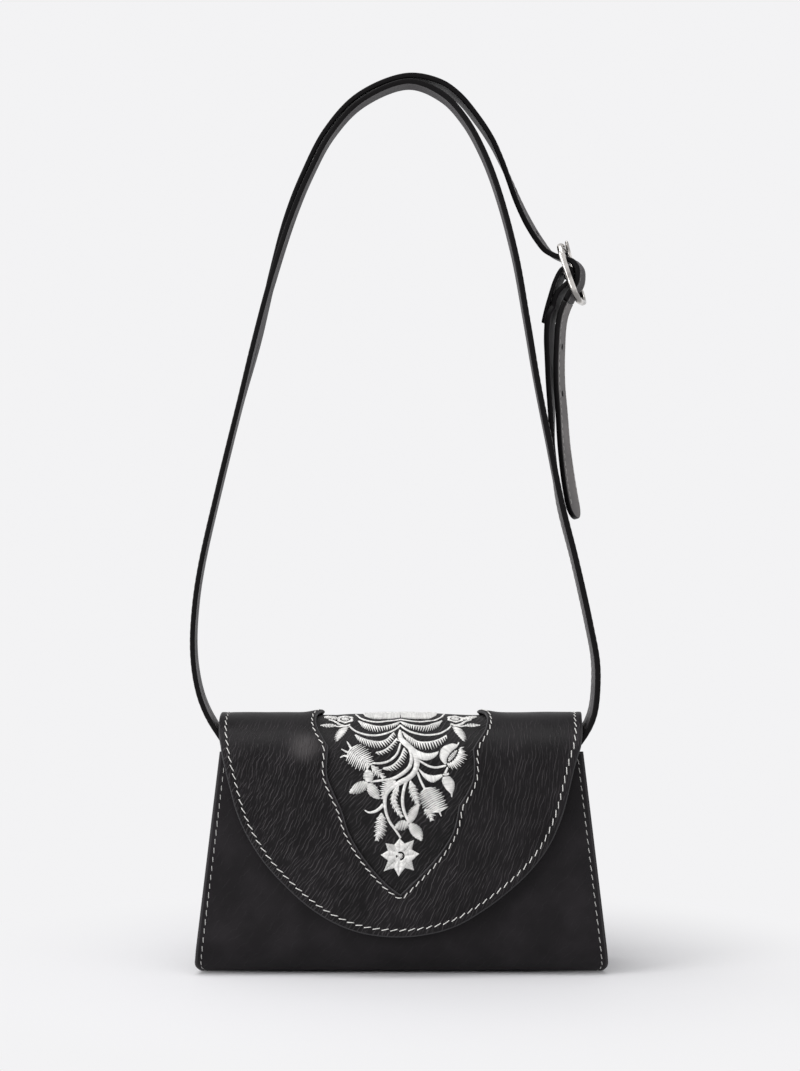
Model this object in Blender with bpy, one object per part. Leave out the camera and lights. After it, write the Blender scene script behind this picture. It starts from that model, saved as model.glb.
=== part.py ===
"""Clutch bag of black leather on a doubled shoulder strap.

Units are metres, +Z is up, +X runs along the width and -Y is the front.
The origin is the middle of the base, on the surface that the bag stands on.
"""
import math

import bmesh
import bpy
from mathutils import Matrix, Vector

MM = 0.001

# Fit between pieces that touch
GAP = 0.3 * MM

# Body: one wrapped piece that is front panel, base and back panel
BODY_THICKNESS = 2.0 * MM
BODY_WIDE_HEIGHT = 8.0 * MM
BODY_WIDE_HALF = 110.6 * MM
SIDE_TAPER = 0.116
CORNER_CUT = 3.5 * MM
CORNER_CUT_HEIGHT = 6.0 * MM
SHOULDER_HEIGHT = 111.5 * MM
SHOULDER_HALF_DEPTH = 22.4 * MM
PANEL_LEAN = 0.07
BASE_RADIUS = 18.0 * MM
FRONT_TOP = 119.5 * MM
BACK_TOP = 114.0 * MM

# Gussets: trays whose flanges are sewn along the body's inner side
GUSSET_THICKNESS = 1.4 * MM
GUSSET_SETBACK = 5.5 * MM
GUSSET_EDGE_BACK = 0.6 * MM
GUSSET_TOP = 106.0 * MM

# Lining and base board
LINING_THICKNESS = 0.8 * MM
LINING_RIM_BACK = 1.0 * MM
BOARD_THICKNESS = 1.5 * MM
BOARD_EDGE_BACK = 0.7 * MM
BOARD_END_BACK = 1.5 * MM
BOARD_CORNER = 4.0 * MM

# Flap, four layers
FLAP_CREST = 139.0 * MM
FLAP_TIP = 18.8 * MM
FLAP_OUTER_THICKNESS = 1.2 * MM
FLAP_MIDDLE_THICKNESS = 0.9 * MM
FLAP_LINING_THICKNESS = 0.7 * MM
FLAP_BACK_GAP = 0.4 * MM
FLAP_HALF = 99.6 * MM
FLAP_SHOULDER_NARROWING = 3.8 * MM
FLAP_SHOULDER = 114.0 * MM
FLAP_SHOULDER_CURVE = 1.4
FLAP_SIDE_TAPER = 0.13
FLAP_ROUNDNESS = 2.15
FLAP_MIDDLE_EDGE_BACK = 1.0 * MM
FLAP_LINING_EDGE_BACK = 0.5 * MM

# Scalloped window in the flap's outer leather: height, half width, bulge above it
WINDOW_TOP_HALF = 42.5 * MM
WINDOW_UPPER_CUSP = (119.3 * MM, 38.8 * MM, 5.2 * MM)
WINDOW_LOWER_CUSP = (88.3 * MM, 31.7 * MM, 4.1 * MM)
WINDOW_TIP = (41.3 * MM, 0.0, 6.7 * MM)
INSET_MARGIN = 4.5 * MM
INSET_TIP_DROP = 4.0 * MM

# Seam of the flap on the back panel, and the line that it folds about
TAB_BOTTOM = 92.0 * MM
HINGE_HEIGHT = 108.0 * MM
HINGE_PROUD = 0.35 * MM
HINGE_GAP = 0.2 * MM
TAB_CORNER = 6.0 * MM

# Magnetic snap: socket on the front panel, stud in the flap
SNAP_HEIGHT = 29.0 * MM
SOCKET_RADIUS = 6.5 * MM
SOCKET_HEIGHT = 1.7 * MM
SOCKET_RECESS_RADIUS = 3.2 * MM
SOCKET_RECESS_FLOOR = 0.5 * MM
SOCKET_STEM_RADIUS = 1.6 * MM
SOCKET_WASHER_RADIUS = 5.5 * MM
SOCKET_WASHER_THICKNESS = 0.6 * MM
STUD_RADIUS = 6.0 * MM
STUD_PLATE = 0.6 * MM
STUD_NOSE_RADIUS = 2.0 * MM
STUD_STEM_RADIUS = 1.4 * MM
STUD_WASHER_RADIUS = 4.5 * MM
STUD_WASHER_THICKNESS = 0.6 * MM
SNAP_CHAMFER = 0.3 * MM

# Strap: one belt, doubled, with its strands side by side at the bag
STRAP_WIDTH = 18.0 * MM
STRAP_THICKNESS = 3.2 * MM
STRAP_CHAMFER = 0.5 * MM
STRAND_SPACE = 0.7 * MM
STRAP_FOLD_THICKNESS = 2.1 * MM
STRAP_EXIT_HEIGHT = 123.0 * MM
STRAP_EXIT_PROUD = 0.9 * MM
STRAP_END_BOTTOM = 78.0 * MM
STRAP_END_BEND_DEPTH = 12.0 * MM
HOLE_RADIUS = 1.5 * MM
HOLE_PITCH = 26.0 * MM
HOLES_ABOVE = 2
TAIL_HOLES = (2, 3)

# Buckle, cast, with a centre bar
BUCKLE_PLACE = (93.73 * MM, 8.7 * MM, 379.2 * MM)
BUCKLE_TURN = math.radians(15)
BUCKLE_TILT = math.radians(18.9)
FRAME_HALF_LENGTH = 16.2 * MM
FRAME_HALF_WIDTH = 11.8 * MM
FRAME_CORNER = 7.0 * MM
FRAME_HALF_FACE = 1.4 * MM
FRAME_HALF_THICKNESS = 1.6 * MM
BAR_RADIUS = 1.2 * MM
BAR_INSET = 1.05 * MM
PRONG_RADIUS = 1.0 * MM
PRONG_COIL_RADIUS = 2.45 * MM
PRONG_OVERHANG = 2.4 * MM
PRONG_REST_GAP = 0.25 * MM
PRONG_HOLE_RADIUS = 1.8 * MM
PRONG_SLOT_CLEARANCE = 0.8 * MM
PRONG_SLOT_EXTRA = 1.0 * MM
PRONG_COIL_TURN = math.radians(285)
PRONG_SHAFT_SHARES = (0.35, 0.7, 0.92, 1.0)
PRONG_POINT_SHARE = 0.5

# Rivets through strap end, lining and gusset
RIVET_HEIGHT = 86.0 * MM
RIVET_CAP_RADIUS = 4.5 * MM
RIVET_CAP_HEIGHT = 1.2 * MM
RIVET_STEM_RADIUS = 1.5 * MM
RIVET_CROWN_RADIUS = 3.375 * MM
RIVET_CROWN_DROP = 0.24 * MM
RIVET_CAP_EDGE = 0.6 * MM

# Fineness of the round forms
ARC_STEPS = 8
ARCH_STEPS = 20
TIP_STEPS = 14
LOBE_STEPS = 5
TURNED_SIDES = 24
TUBE_SIDES = 10
COIL_STEPS = 16
ROW_SPACE = 1.0 * MM
ROUTE_TURN = math.radians(8)
ROUTE_STEP = 16.0 * MM
ROUTE_FINE = 1.0 * MM
ROUTE_LEAST_STEPS = 4
SAME_CORNER = 1e-7
EDGE_DIGITS = 7
SHARP_EDGE = math.radians(35)

TILT = math.atan(PANEL_LEAN)
SIDE_SLOPE = math.atan(SIDE_TAPER)
FLAP_THICKNESS = (
    FLAP_OUTER_THICKNESS + FLAP_MIDDLE_THICKNESS + FLAP_LINING_THICKNESS + 2 * GAP
)
SNAP_SPACE = 3 * GAP + SOCKET_HEIGHT + STUD_PLATE
LANE = STRAP_WIDTH / 2 + GAP
STRAP_EXIT_X = FLAP_HALF + STRAP_EXIT_PROUD
BAG_THICKNESS = GUSSET_THICKNESS + LINING_THICKNESS + 2 * GAP

BLACK_LEATHER = ("black_leather", (0.018, 0.017, 0.019), 0.38, 0.0)
GRAINED_LEATHER = ("grained_leather", (0.014, 0.013, 0.014), 0.45, 0.0)
INSET_LEATHER = ("inset_leather", (0.020, 0.019, 0.020), 0.42, 0.0)
STRAP_LEATHER = ("strap_leather", (0.030, 0.028, 0.030), 0.5, 0.0)
LINING_CLOTH = ("lining_cloth", (0.055, 0.050, 0.048), 0.85, 0.0)
BOARD_FIBRE = ("board_fibre", (0.20, 0.17, 0.13), 0.9, 0.0)
NICKEL = ("nickel", (0.62, 0.61, 0.60), 0.22, 1.0)


def clear_scene():
    for item in list(bpy.data.objects):
        bpy.data.objects.remove(item, do_unlink=True)


def make_material(spec):
    name, colour, roughness, metallic = spec
    found = bpy.data.materials.get(name)
    if found:
        return found
    material = bpy.data.materials.new(name)
    material.use_nodes = True
    shader = material.node_tree.nodes["Principled BSDF"]
    shader.inputs["Base Color"].default_value = (*colour, 1.0)
    shader.inputs["Roughness"].default_value = roughness
    shader.inputs["Metallic"].default_value = metallic
    return material


class Shell:
    """A closed surface, collected face by face, in which equal corners are one vertex."""

    def __init__(self):
        self.mesh = bmesh.new()
        self.corners = {}

    def corner(self, point):
        key = tuple(round(value / SAME_CORNER) for value in point)
        if key not in self.corners:
            self.corners[key] = self.mesh.verts.new(point)
        return self.corners[key]

    def face(self, *points):
        used = []
        for point in points:
            vertex = self.corner(point)
            if vertex not in used:
                used.append(vertex)
        if len(used) > 2:
            self.mesh.faces.new(used)

    def loft(self, rings, closed_route=False):
        """Join rings of equal count, one after the other, with caps on the two ends."""
        count = len(rings[0])
        pairs = list(zip(rings, rings[1:]))
        if closed_route:
            pairs.append((rings[-1], rings[0]))
        for ring, following in pairs:
            for i in range(count):
                j = (i + 1) % count
                self.face(ring[i], ring[j], following[j], following[i])
        if not closed_route:
            self.face(*rings[0])
            self.face(*rings[-1])

    def finish(self, name, spec, origin=(0, 0, 0), smooth=True):
        bmesh.ops.recalc_face_normals(self.mesh, faces=self.mesh.faces)
        mesh = bpy.data.meshes.new(name)
        self.mesh.to_mesh(mesh)
        self.mesh.free()
        mesh.transform(Matrix.Translation(-Vector(origin)))
        if smooth:
            mesh.shade_smooth()
            mesh.set_sharp_from_angle(angle=SHARP_EDGE)
        item = bpy.data.objects.new(name, mesh)
        item.location = origin
        bpy.context.collection.objects.link(item)
        if spec:
            mesh.materials.append(make_material(spec))
        return item


def cutter(shell, name):
    """A solid that only shapes others."""
    item = shell.finish(name, None)
    item.hide_render = True
    item.display_type = "WIRE"
    return item


def cut(item, tool, operation="DIFFERENCE"):
    step = item.modifiers.new(tool.name, "BOOLEAN")
    step.operation = operation
    step.solver = "EXACT"
    step.object = tool


def make_pivot(name, place):
    """An empty on a joint's axis."""
    pivot = bpy.data.objects.new(name, None)
    pivot.location = place
    bpy.context.collection.objects.link(pivot)
    return pivot


def hang(pivot, items):
    """Put the items' origins on the pivot and parent them to it."""
    for item in items:
        item.data.transform(Matrix.Translation(item.location - pivot.location))
        item.location = (0, 0, 0)
        item.parent = pivot


def turned(shell, profile, place, direction):
    """Turn a profile of (radius, height) points about an axis through a place."""
    turn = Vector(direction).to_track_quat("Z", "Y").to_matrix().to_4x4()
    frame = Matrix.Translation(place) @ turn
    rings = []
    for i in range(TURNED_SIDES):
        angle = math.tau * i / TURNED_SIDES
        ring = []
        for radius, height in profile:
            local = Vector((radius * math.cos(angle), radius * math.sin(angle), height))
            ring.append(frame @ local)
        rings.append(ring)
    closed = profile[0][0] > 0
    for i in range(TURNED_SIDES):
        ring = rings[i]
        following = rings[(i + 1) % TURNED_SIDES]
        spans = len(profile) if closed else len(profile) - 1
        for k in range(spans):
            m = (k + 1) % len(profile)
            shell.face(ring[k], following[k], following[m], ring[m])


# Body sections


def body_half_depth(z):
    return SHOULDER_HALF_DEPTH + PANEL_LEAN * (SHOULDER_HEIGHT - z)


def body_half_width(z):
    return BODY_WIDE_HALF - SIDE_TAPER * (z - BODY_WIDE_HEIGHT)


def side_edge(z):
    fade = max(0.0, 1 - z / CORNER_CUT_HEIGHT)
    return body_half_width(z) - CORNER_CUT * fade**2


def gusset_face(z):
    """Outer face of the gusset's plate."""
    return body_half_width(z) - GUSSET_SETBACK


def body_section(inset, front_top, back_top, floor, marks=()):
    """Points (y, z) from the front rim round the base to the back rim, moved in by inset."""
    foot = body_half_depth(BASE_RADIUS * (1 + math.sin(TILT))) - BASE_RADIUS * math.cos(TILT)
    radius = BASE_RADIUS - inset
    lowest = math.asin(max(-1.0, (floor - BASE_RADIUS) / radius))
    halves = []
    for side, top in ((-1, front_top), (1, back_top)):
        heights = [top] + [z for z in marks if z < top]
        points = [(side * (body_half_depth(z) - inset / math.cos(TILT)), z) for z in heights]
        for i in range(ARC_STEPS + 1):
            angle = TILT + (lowest - TILT) * i / ARC_STEPS
            y = foot + radius * math.cos(angle)
            points.append((side * y, BASE_RADIUS + radius * math.sin(angle)))
        halves.append(points)
    return halves[0] + halves[1][::-1]


def make_body_wrap():
    outer = body_section(0, FRONT_TOP, BACK_TOP, 0)
    inner = body_section(BODY_THICKNESS, FRONT_TOP, BACK_TOP, BODY_THICKNESS)
    shell = Shell()
    rings = []
    for (y, z), (inner_y, inner_z) in zip(outer, inner):
        half = side_edge(z)
        rings.append([(-half, y, z), (half, y, z), (half, inner_y, inner_z), (-half, inner_y, inner_z)])
    shell.loft(rings)
    return shell.finish("body_wrap", BLACK_LEATHER)


def make_gusset(name, side):
    """A tray: the plate closes the bag's end and its flange turns out to the sewn edge."""
    inset = BODY_THICKNESS + GAP
    wall = body_section(inset, GUSSET_TOP, GUSSET_TOP, inset)
    depth = inset + GUSSET_THICKNESS
    hollow = body_section(depth, GUSSET_TOP, GUSSET_TOP, depth)
    back = [(side * (gusset_face(z) - GUSSET_THICKNESS), y, z) for y, z in wall]
    rim = [(side * (side_edge(z) - GUSSET_EDGE_BACK), y, z) for y, z in wall]
    lip = [(side * (side_edge(z) - GUSSET_EDGE_BACK), y, z) for y, z in hollow]
    plate = [(side * gusset_face(z), y, z) for y, z in hollow]
    shell = Shell()
    shell.face(*back)
    shell.face(*plate)
    for first, second in ((back, rim), (rim, lip), (lip, plate)):
        for i in range(len(first) - 1):
            shell.face(first[i], first[i + 1], second[i + 1], second[i])
    shell.face(back[0], rim[0], lip[0], plate[0], plate[-1], lip[-1], rim[-1], back[-1])
    return shell.finish(name, BLACK_LEATHER)


def make_lining():
    """A thin open bag inside the body and the gussets."""
    inset = BODY_THICKNESS + GAP
    floor = BODY_THICKNESS + 2 * GAP + BOARD_THICKNESS
    rim = GUSSET_TOP - GAP
    front = FRONT_TOP - LINING_RIM_BACK
    back = BACK_TOP - LINING_RIM_BACK
    outer = body_section(inset, front, back, floor, (rim,))
    depth = inset + LINING_THICKNESS
    inner = body_section(depth, front, back, floor + LINING_THICKNESS, (rim,))
    side_back = GUSSET_THICKNESS + GAP
    shell = Shell()
    for side in (-1, 1):
        shell_out = [(side * (gusset_face(z) - side_back), y, z) for y, z in outer]
        shell_in = [(side * (gusset_face(z) - side_back - LINING_THICKNESS), y, z) for y, z in inner]
        shell.face(*shell_out[1:-1])
        shell.face(*shell_in[1:-1])
        shell.face(shell_out[1], shell_out[-2], shell_in[-2], shell_in[1])
        shell.face(shell_out[0], shell_out[1], shell_in[1], shell_in[0])
        shell.face(shell_out[-1], shell_out[-2], shell_in[-2], shell_in[-1])
    for points, back_off in ((outer, side_back), (inner, side_back + LINING_THICKNESS)):
        for (y, z), (next_y, next_z) in zip(points, points[1:]):
            half = gusset_face(z) - back_off
            next_half = gusset_face(next_z) - back_off
            near_edge = [(-half, y, z), (half, y, z)]
            shell.face(*near_edge, (next_half, next_y, next_z), (-next_half, next_y, next_z))
    for k in (0, -1):
        y, z = outer[k]
        inner_y, inner_z = inner[k]
        half = gusset_face(z) - side_back
        inner_half = gusset_face(inner_z) - side_back - LINING_THICKNESS
        shell.face(
            (-half, y, z), (half, y, z), (inner_half, inner_y, inner_z), (-inner_half, inner_y, inner_z)
        )
    return shell.finish("lining", LINING_CLOTH)


def make_base_board():
    foot = body_half_depth(BASE_RADIUS * (1 + math.sin(TILT))) - BASE_RADIUS * math.cos(TILT)
    low = BODY_THICKNESS + GAP
    high = low + BOARD_THICKNESS
    half_x = gusset_face(low) - GUSSET_THICKNESS - BOARD_END_BACK
    half_y = foot - BOARD_EDGE_BACK
    outline = []
    for quarter in range(4):
        sign_x = 1 if quarter in (0, 3) else -1
        sign_y = 1 if quarter in (0, 1) else -1
        for i in range(ARC_STEPS // 2 + 1):
            angle = math.pi / 2 * (quarter + 2 * i / ARC_STEPS)
            x = sign_x * (half_x - BOARD_CORNER) + BOARD_CORNER * math.cos(angle)
            y = sign_y * (half_y - BOARD_CORNER) + BOARD_CORNER * math.sin(angle)
            outline.append((x, y))
    shell = Shell()
    shell.loft([[(x, y, z) for x, y in outline] for z in (low, high)])
    return shell.finish("base_board", BOARD_FIBRE)


# Flap sections


def flap_arch():
    """Middle (y, z) and radius of the bend over the top, which meets both straight runs."""
    steep = math.cos(TILT)
    front = SHOULDER_HALF_DEPTH + (SNAP_SPACE + FLAP_THICKNESS) / steep
    back = SHOULDER_HALF_DEPTH + (FLAP_BACK_GAP + FLAP_THICKNESS) / steep
    half = (front + back) / 2
    middle_z = (FLAP_CREST - steep * (half + PANEL_LEAN * SHOULDER_HEIGHT)) / (1 - steep * PANEL_LEAN)
    return (back - front) / 2, middle_z, FLAP_CREST - middle_z


def flap_run(side, z):
    """A point of the flap's outer side on its straight run, with the way out."""
    steep = math.cos(TILT)
    space = SNAP_SPACE if side < 0 else FLAP_BACK_GAP
    y = side * (body_half_depth(z) + (space + FLAP_THICKNESS) / steep)
    return y, z, side * steep, math.sin(TILT)


def flap_half(side, z):
    """Half width of the flap at a height on its front or back."""
    if side > 0:
        return FLAP_HALF
    if z >= FLAP_SHOULDER:
        down = (FLAP_CREST - z) / (FLAP_CREST - FLAP_SHOULDER)
        return FLAP_HALF - FLAP_SHOULDER_NARROWING * max(0.0, down) ** FLAP_SHOULDER_CURVE
    drop = FLAP_SHOULDER - z
    share = min(1.0, drop / (FLAP_SHOULDER - FLAP_TIP))
    width = FLAP_HALF - FLAP_SHOULDER_NARROWING - FLAP_SIDE_TAPER * drop
    return width * math.sqrt(max(0.0, 1 - share**FLAP_ROUNDNESS))


def window_half(side, z):
    """Half width of the scalloped window: three lobes that meet in cusps."""
    if side > 0:
        return WINDOW_TOP_HALF
    above = (FLAP_CREST, WINDOW_TOP_HALF)
    for height, half, bulge in (WINDOW_UPPER_CUSP, WINDOW_LOWER_CUSP, WINDOW_TIP):
        if z >= height:
            t = (above[0] - z) / (above[0] - height)
            return above[1] + (half - above[1]) * t + bulge * math.sin(math.pi * t)
        above = (height, half)
    return 0.0


def inset_half(side, z):
    """Half width of the inset leather, which reaches under the window's edge."""
    tip = WINDOW_TIP[0]
    if side > 0 or z >= tip:
        return window_half(side, z) + INSET_MARGIN
    return max(0.0, INSET_MARGIN * (1 - (tip - z) / INSET_TIP_DROP))


def flap_rows():
    """Rows (y, z, out_y, out_z, side) of the flap's outer side from the hinge to the tip."""
    middle_y, middle_z, radius = flap_arch()
    rows = [(*flap_run(1, HINGE_HEIGHT + HINGE_GAP), 1)]
    top_angle = math.pi / 2 - TILT
    angles = [top_angle * (2 * i / ARCH_STEPS - 1) for i in range(ARCH_STEPS + 1)]
    cusp = math.acos((WINDOW_UPPER_CUSP[0] - middle_z) / radius)
    angles = [a for a in angles if abs(a - cusp) > top_angle / ARCH_STEPS / 2] + [cusp]
    for angle in sorted(angles):
        out_y = -math.sin(angle)
        out_z = math.cos(angle)
        side = -1 if angle > 0 else 1
        rows.append((middle_y + radius * out_y, middle_z + radius * out_z, out_y, out_z, side))
    tangent = middle_z + radius * math.sin(TILT)
    keys = [WINDOW_LOWER_CUSP[0], WINDOW_TIP[0], WINDOW_TIP[0] - INSET_TIP_DROP, FLAP_TIP]
    heights = []
    for high, low in ((tangent, keys[0]), (keys[0], keys[1])):
        heights += [high + (low - high) * i / LOBE_STEPS for i in range(1, LOBE_STEPS)]
    drop = FLAP_SHOULDER - FLAP_TIP
    heights += [FLAP_SHOULDER - drop * math.sin(math.pi / 2 * i / TIP_STEPS) for i in range(1, TIP_STEPS)]
    spread = sorted(keys)
    for z in heights:
        if z < tangent and all(abs(z - key) > ROW_SPACE for key in spread):
            spread.append(z)
    for z in sorted(spread, reverse=True):
        rows.append((*flap_run(-1, z), -1))
    return rows


def flap_layer(name, spec, top, bottom, inner_edge, outer_edge, origin):
    """A layer between two depths under the flap's outer side and between two edges."""
    kept = []
    for y, z, out_y, out_z, side in flap_rows():
        near = round(inner_edge(side, z), EDGE_DIGITS)
        far = round(outer_edge(side, z), EDGE_DIGITS)
        if far < near or (kept and kept[-1][0] == kept[-1][1]):
            continue
        upper = (y - top * out_y, z - top * out_z)
        lower = (y - bottom * out_y, z - bottom * out_z)
        kept.append((near, far, upper, lower))
    shell = Shell()
    for sign in (-1, 1):
        rings = []
        for near, far, upper, lower in kept:
            near_x = sign * near
            far_x = sign * far
            rings.append([(near_x, *upper), (far_x, *upper), (far_x, *lower), (near_x, *lower)])
        for ring, following in zip(rings, rings[1:]):
            for i in range(4):
                j = (i + 1) % 4
                at_middle = i == 3 and ring[0][0] == 0 and following[0][0] == 0
                if not at_middle:
                    shell.face(ring[i], ring[j], following[j], following[i])
        shell.face(*rings[0])
        shell.face(*rings[-1])
    return shell.finish(name, spec, origin)


def make_flap(hinge):
    middle_top = FLAP_OUTER_THICKNESS + GAP
    middle_bottom = middle_top + FLAP_MIDDLE_THICKNESS
    lining_top = middle_bottom + GAP

    def none(side, z):
        return 0.0

    def stiffener_inner(side, z):
        half = inset_half(side, z)
        return half + GAP if half > 0 else 0.0

    def middle_outer(side, z):
        return flap_half(side, z) - FLAP_MIDDLE_EDGE_BACK

    def lining_outer(side, z):
        return flap_half(side, z) - FLAP_LINING_EDGE_BACK

    layers = [
        flap_layer("flap_outer", GRAINED_LEATHER, 0, FLAP_OUTER_THICKNESS, window_half, flap_half, hinge),
        flap_layer("flap_inset", INSET_LEATHER, middle_top, middle_bottom, none, inset_half, hinge),
        flap_layer(
            "flap_stiffener", BOARD_FIBRE, middle_top, middle_bottom, stiffener_inner, middle_outer, hinge
        ),
        flap_layer("flap_lining", LINING_CLOTH, lining_top, FLAP_THICKNESS, none, lining_outer, hinge),
    ]
    return layers


def make_seam_tab():
    """The end of the flap that is sewn flat on the back panel."""
    top = HINGE_HEIGHT - HINGE_GAP
    bend = TAB_BOTTOM + TAB_CORNER
    rows = [(top, 0.0)]
    for i in range(ARC_STEPS + 1):
        angle = math.pi / 2 * i / ARC_STEPS
        rows.append((bend - TAB_CORNER * math.sin(angle), TAB_CORNER * (1 - math.cos(angle))))
    shell = Shell()
    rings = []
    depth = FLAP_THICKNESS + FLAP_BACK_GAP - GAP
    for z, back in rows:
        y, z, out_y, out_z = flap_run(1, z)
        half = FLAP_HALF - back
        under_y = y - depth * out_y
        under_z = z - depth * out_z
        rings.append([(-half, y, z), (half, y, z), (half, under_y, under_z), (-half, under_y, under_z)])
    shell.loft(rings)
    return shell.finish("flap_seam_tab", GRAINED_LEATHER)


# Snap


def snap_frame():
    place = Vector((0, -body_half_depth(SNAP_HEIGHT), SNAP_HEIGHT))
    out = Vector((0, -math.cos(TILT), math.sin(TILT)))
    return place, out


def turned_piece(name, spec, profile, place, out):
    shell = Shell()
    turned(shell, profile, place, out)
    return shell.finish(name, spec)


def turned_cutter(name, profile, place, out):
    shell = Shell()
    turned(shell, profile, place, out)
    return cutter(shell, name)


def make_snap(wrap, flap_lining, flap_stiffener):
    place, out = snap_frame()
    washer_back = -BODY_THICKNESS + SOCKET_WASHER_THICKNESS
    socket_top = GAP + SOCKET_HEIGHT
    recess = GAP + SOCKET_RECESS_FLOOR
    rim = SOCKET_RADIUS - SNAP_CHAMFER
    socket = turned_piece(
        "snap_socket",
        NICKEL,
        [
            (0, -BODY_THICKNESS),
            (SOCKET_STEM_RADIUS, -BODY_THICKNESS),
            (SOCKET_STEM_RADIUS, GAP),
            (SOCKET_RADIUS, GAP),
            (SOCKET_RADIUS, socket_top - SNAP_CHAMFER),
            (rim, socket_top),
            (SOCKET_RECESS_RADIUS, socket_top),
            (SOCKET_RECESS_RADIUS, recess),
            (0, recess),
        ],
        place,
        out,
    )
    bore = SOCKET_STEM_RADIUS + GAP
    socket_washer = turned_piece(
        "snap_socket_washer",
        NICKEL,
        [
            (bore, -BODY_THICKNESS),
            (SOCKET_WASHER_RADIUS, -BODY_THICKNESS),
            (SOCKET_WASHER_RADIUS, washer_back),
            (bore, washer_back),
        ],
        place,
        out,
    )
    pocket = SOCKET_WASHER_RADIUS + GAP
    through = turned_cutter(
        "socket_seat_cut",
        [
            (0, BODY_THICKNESS),
            (bore, BODY_THICKNESS),
            (bore, washer_back + GAP),
            (pocket, washer_back + GAP),
            (pocket, -2 * BODY_THICKNESS),
            (0, -2 * BODY_THICKNESS),
        ],
        place,
        out,
    )
    cut(wrap, through)

    plate_top = SNAP_SPACE - GAP
    plate = plate_top - STUD_PLATE
    nose = recess + GAP
    lining_top = SNAP_SPACE + FLAP_LINING_THICKNESS
    washer_low = lining_top + GAP
    washer_high = washer_low + STUD_WASHER_THICKNESS
    stud = turned_piece(
        "snap_stud",
        NICKEL,
        [
            (0, nose),
            (STUD_NOSE_RADIUS - SNAP_CHAMFER, nose),
            (STUD_NOSE_RADIUS, nose + SNAP_CHAMFER),
            (STUD_NOSE_RADIUS, plate),
            (STUD_RADIUS, plate),
            (STUD_RADIUS, plate_top),
            (STUD_STEM_RADIUS, plate_top),
            (STUD_STEM_RADIUS, washer_high),
            (0, washer_high),
        ],
        place,
        out,
    )
    bore = STUD_STEM_RADIUS + GAP
    stud_washer = turned_piece(
        "snap_stud_washer",
        NICKEL,
        [
            (bore, washer_low),
            (STUD_WASHER_RADIUS, washer_low),
            (STUD_WASHER_RADIUS, washer_high),
            (bore, washer_high),
        ],
        place,
        out,
    )
    stem_cut = turned_cutter(
        "stud_stem_cut",
        [(0, SNAP_SPACE - GAP), (bore, SNAP_SPACE - GAP), (bore, washer_low), (0, washer_low)],
        place,
        out,
    )
    cut(flap_lining, stem_cut)
    seat = STUD_WASHER_RADIUS + GAP
    seat_low = lining_top + GAP / 2
    seat_high = washer_low + FLAP_MIDDLE_THICKNESS + GAP / 2
    washer_cut = turned_cutter(
        "stud_washer_cut", [(0, seat_low), (seat, seat_low), (seat, seat_high), (0, seat_high)], place, out
    )
    cut(flap_stiffener, washer_cut)
    return socket, socket_washer, stud, stud_washer


# Strap routes, by eye from the bag's left exit over the top to its right exit.
# Each point is (x, z, share of the lane that the strand keeps to its own side).
ROUTE_EXIT = (100.5 * MM, 123.0 * MM)
FRONT_LEFT = (
    (-102.5, 127.5, 1.0),
    (-105.6, 136.5, 1.0),
    (-109.6, 148.0, 1.0),
    (-112.9, 163.0, 1.0),
    (-113.8, 178.0, 1.0),
    (-112.0, 199.0, 1.0),
    (-108.2, 221.0, 1.0),
    (-97.7, 265.0, 1.0),
    (-87.1, 309.0, 1.0),
    (-78.7, 342.5, 1.0),
    (-69.4, 375.5, 1.0),
    (-59.7, 409.0, 0.75),
    (-50.8, 431.5, 0.54),
    (-38.0, 454.2, 0.32),
    (-21.5, 471.8, 0.20),
    (4.0, 482.0, 0.16),
)
FRONT_RIGHT = (
    (22.3, 475.0, 0.22),
    (34.5, 461.8, 0.34),
    (44.8, 442.8, 0.52),
    (53.1, 420.3, 0.67),
    (61.9, 386.6, 0.84),
    (67.9, 353.2, 0.97),
    (73.6, 320.0, 1.0),
    (80.1, 287.0, 1.0),
)
BOTH_RIGHT = (
    (86.7, 254.0, 1.0),
    (93.9, 221.0, 1.0),
    (101.1, 187.7, 1.0),
    (104.7, 168.0, 1.0),
    (105.6, 154.0, 1.0),
    (104.6, 138.5, 1.0),
    (102.5, 127.5, 1.0),
)
END_RISE = ((90.3, 109.6), (92.4, 113.0), (95.1, 116.3), (97.9, 119.5), (100.5, 123.0))
# The rear strand lies on the front one over the top and parts from it past the crest.
LIFT_START = 352.0 * MM
LIFT_END = 385.0 * MM
# Each point is (x, y, z, turn in degrees).
REAR_RIGHT = (
    (20.5, 2.0, 482.8, 0),
    (31.4, 2.5, 475.6, 0),
    (41.8, 3.0, 463.2, 0),
    (49.4, 4.0, 452.0, 0),
    (55.1, 4.8, 441.0, 1),
    (60.0, 5.5, 430.0, 3),
    (64.6, 6.5, 419.0, 6),
    (69.6, 7.5, 408.0, 10),
    (75.6, 8.5, 397.6, 14),
)
TAIL_DROP = (
    (89.2, 9.9, 357.3, 15),
    (87.9, 10.3, 350.1, 15.5),
    (87.3, 10.4, 340.0, 16),
    (87.0, 10.6, 330.0, 16.5),
    (87.2, 10.6, 318.5, 17),
    (88.3, 10.6, 304.3, 18),
    (89.7, 10.6, 285.0, 19.5),
    (90.9, 10.6, 274.5, 21),
    (92.5, 10.6, 263.0, 22),
    (94.7, 10.6, 251.4, 22),
    (96.7, 10.6, 244.6, 22),
)
LOWER_RISE = (
    (83.1, 9.3, 285.0, 4),
    (82.5, 9.3, 304.0, 8),
    (81.8, 9.3, 320.0, 11),
    (81.4, 9.3, 334.0, 12.5),
    (81.2, 9.4, 342.0, 13.5),
    (81.4, 9.5, 348.5, 14),
    (82.2, 9.7, 354.8, 15),
)
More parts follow.
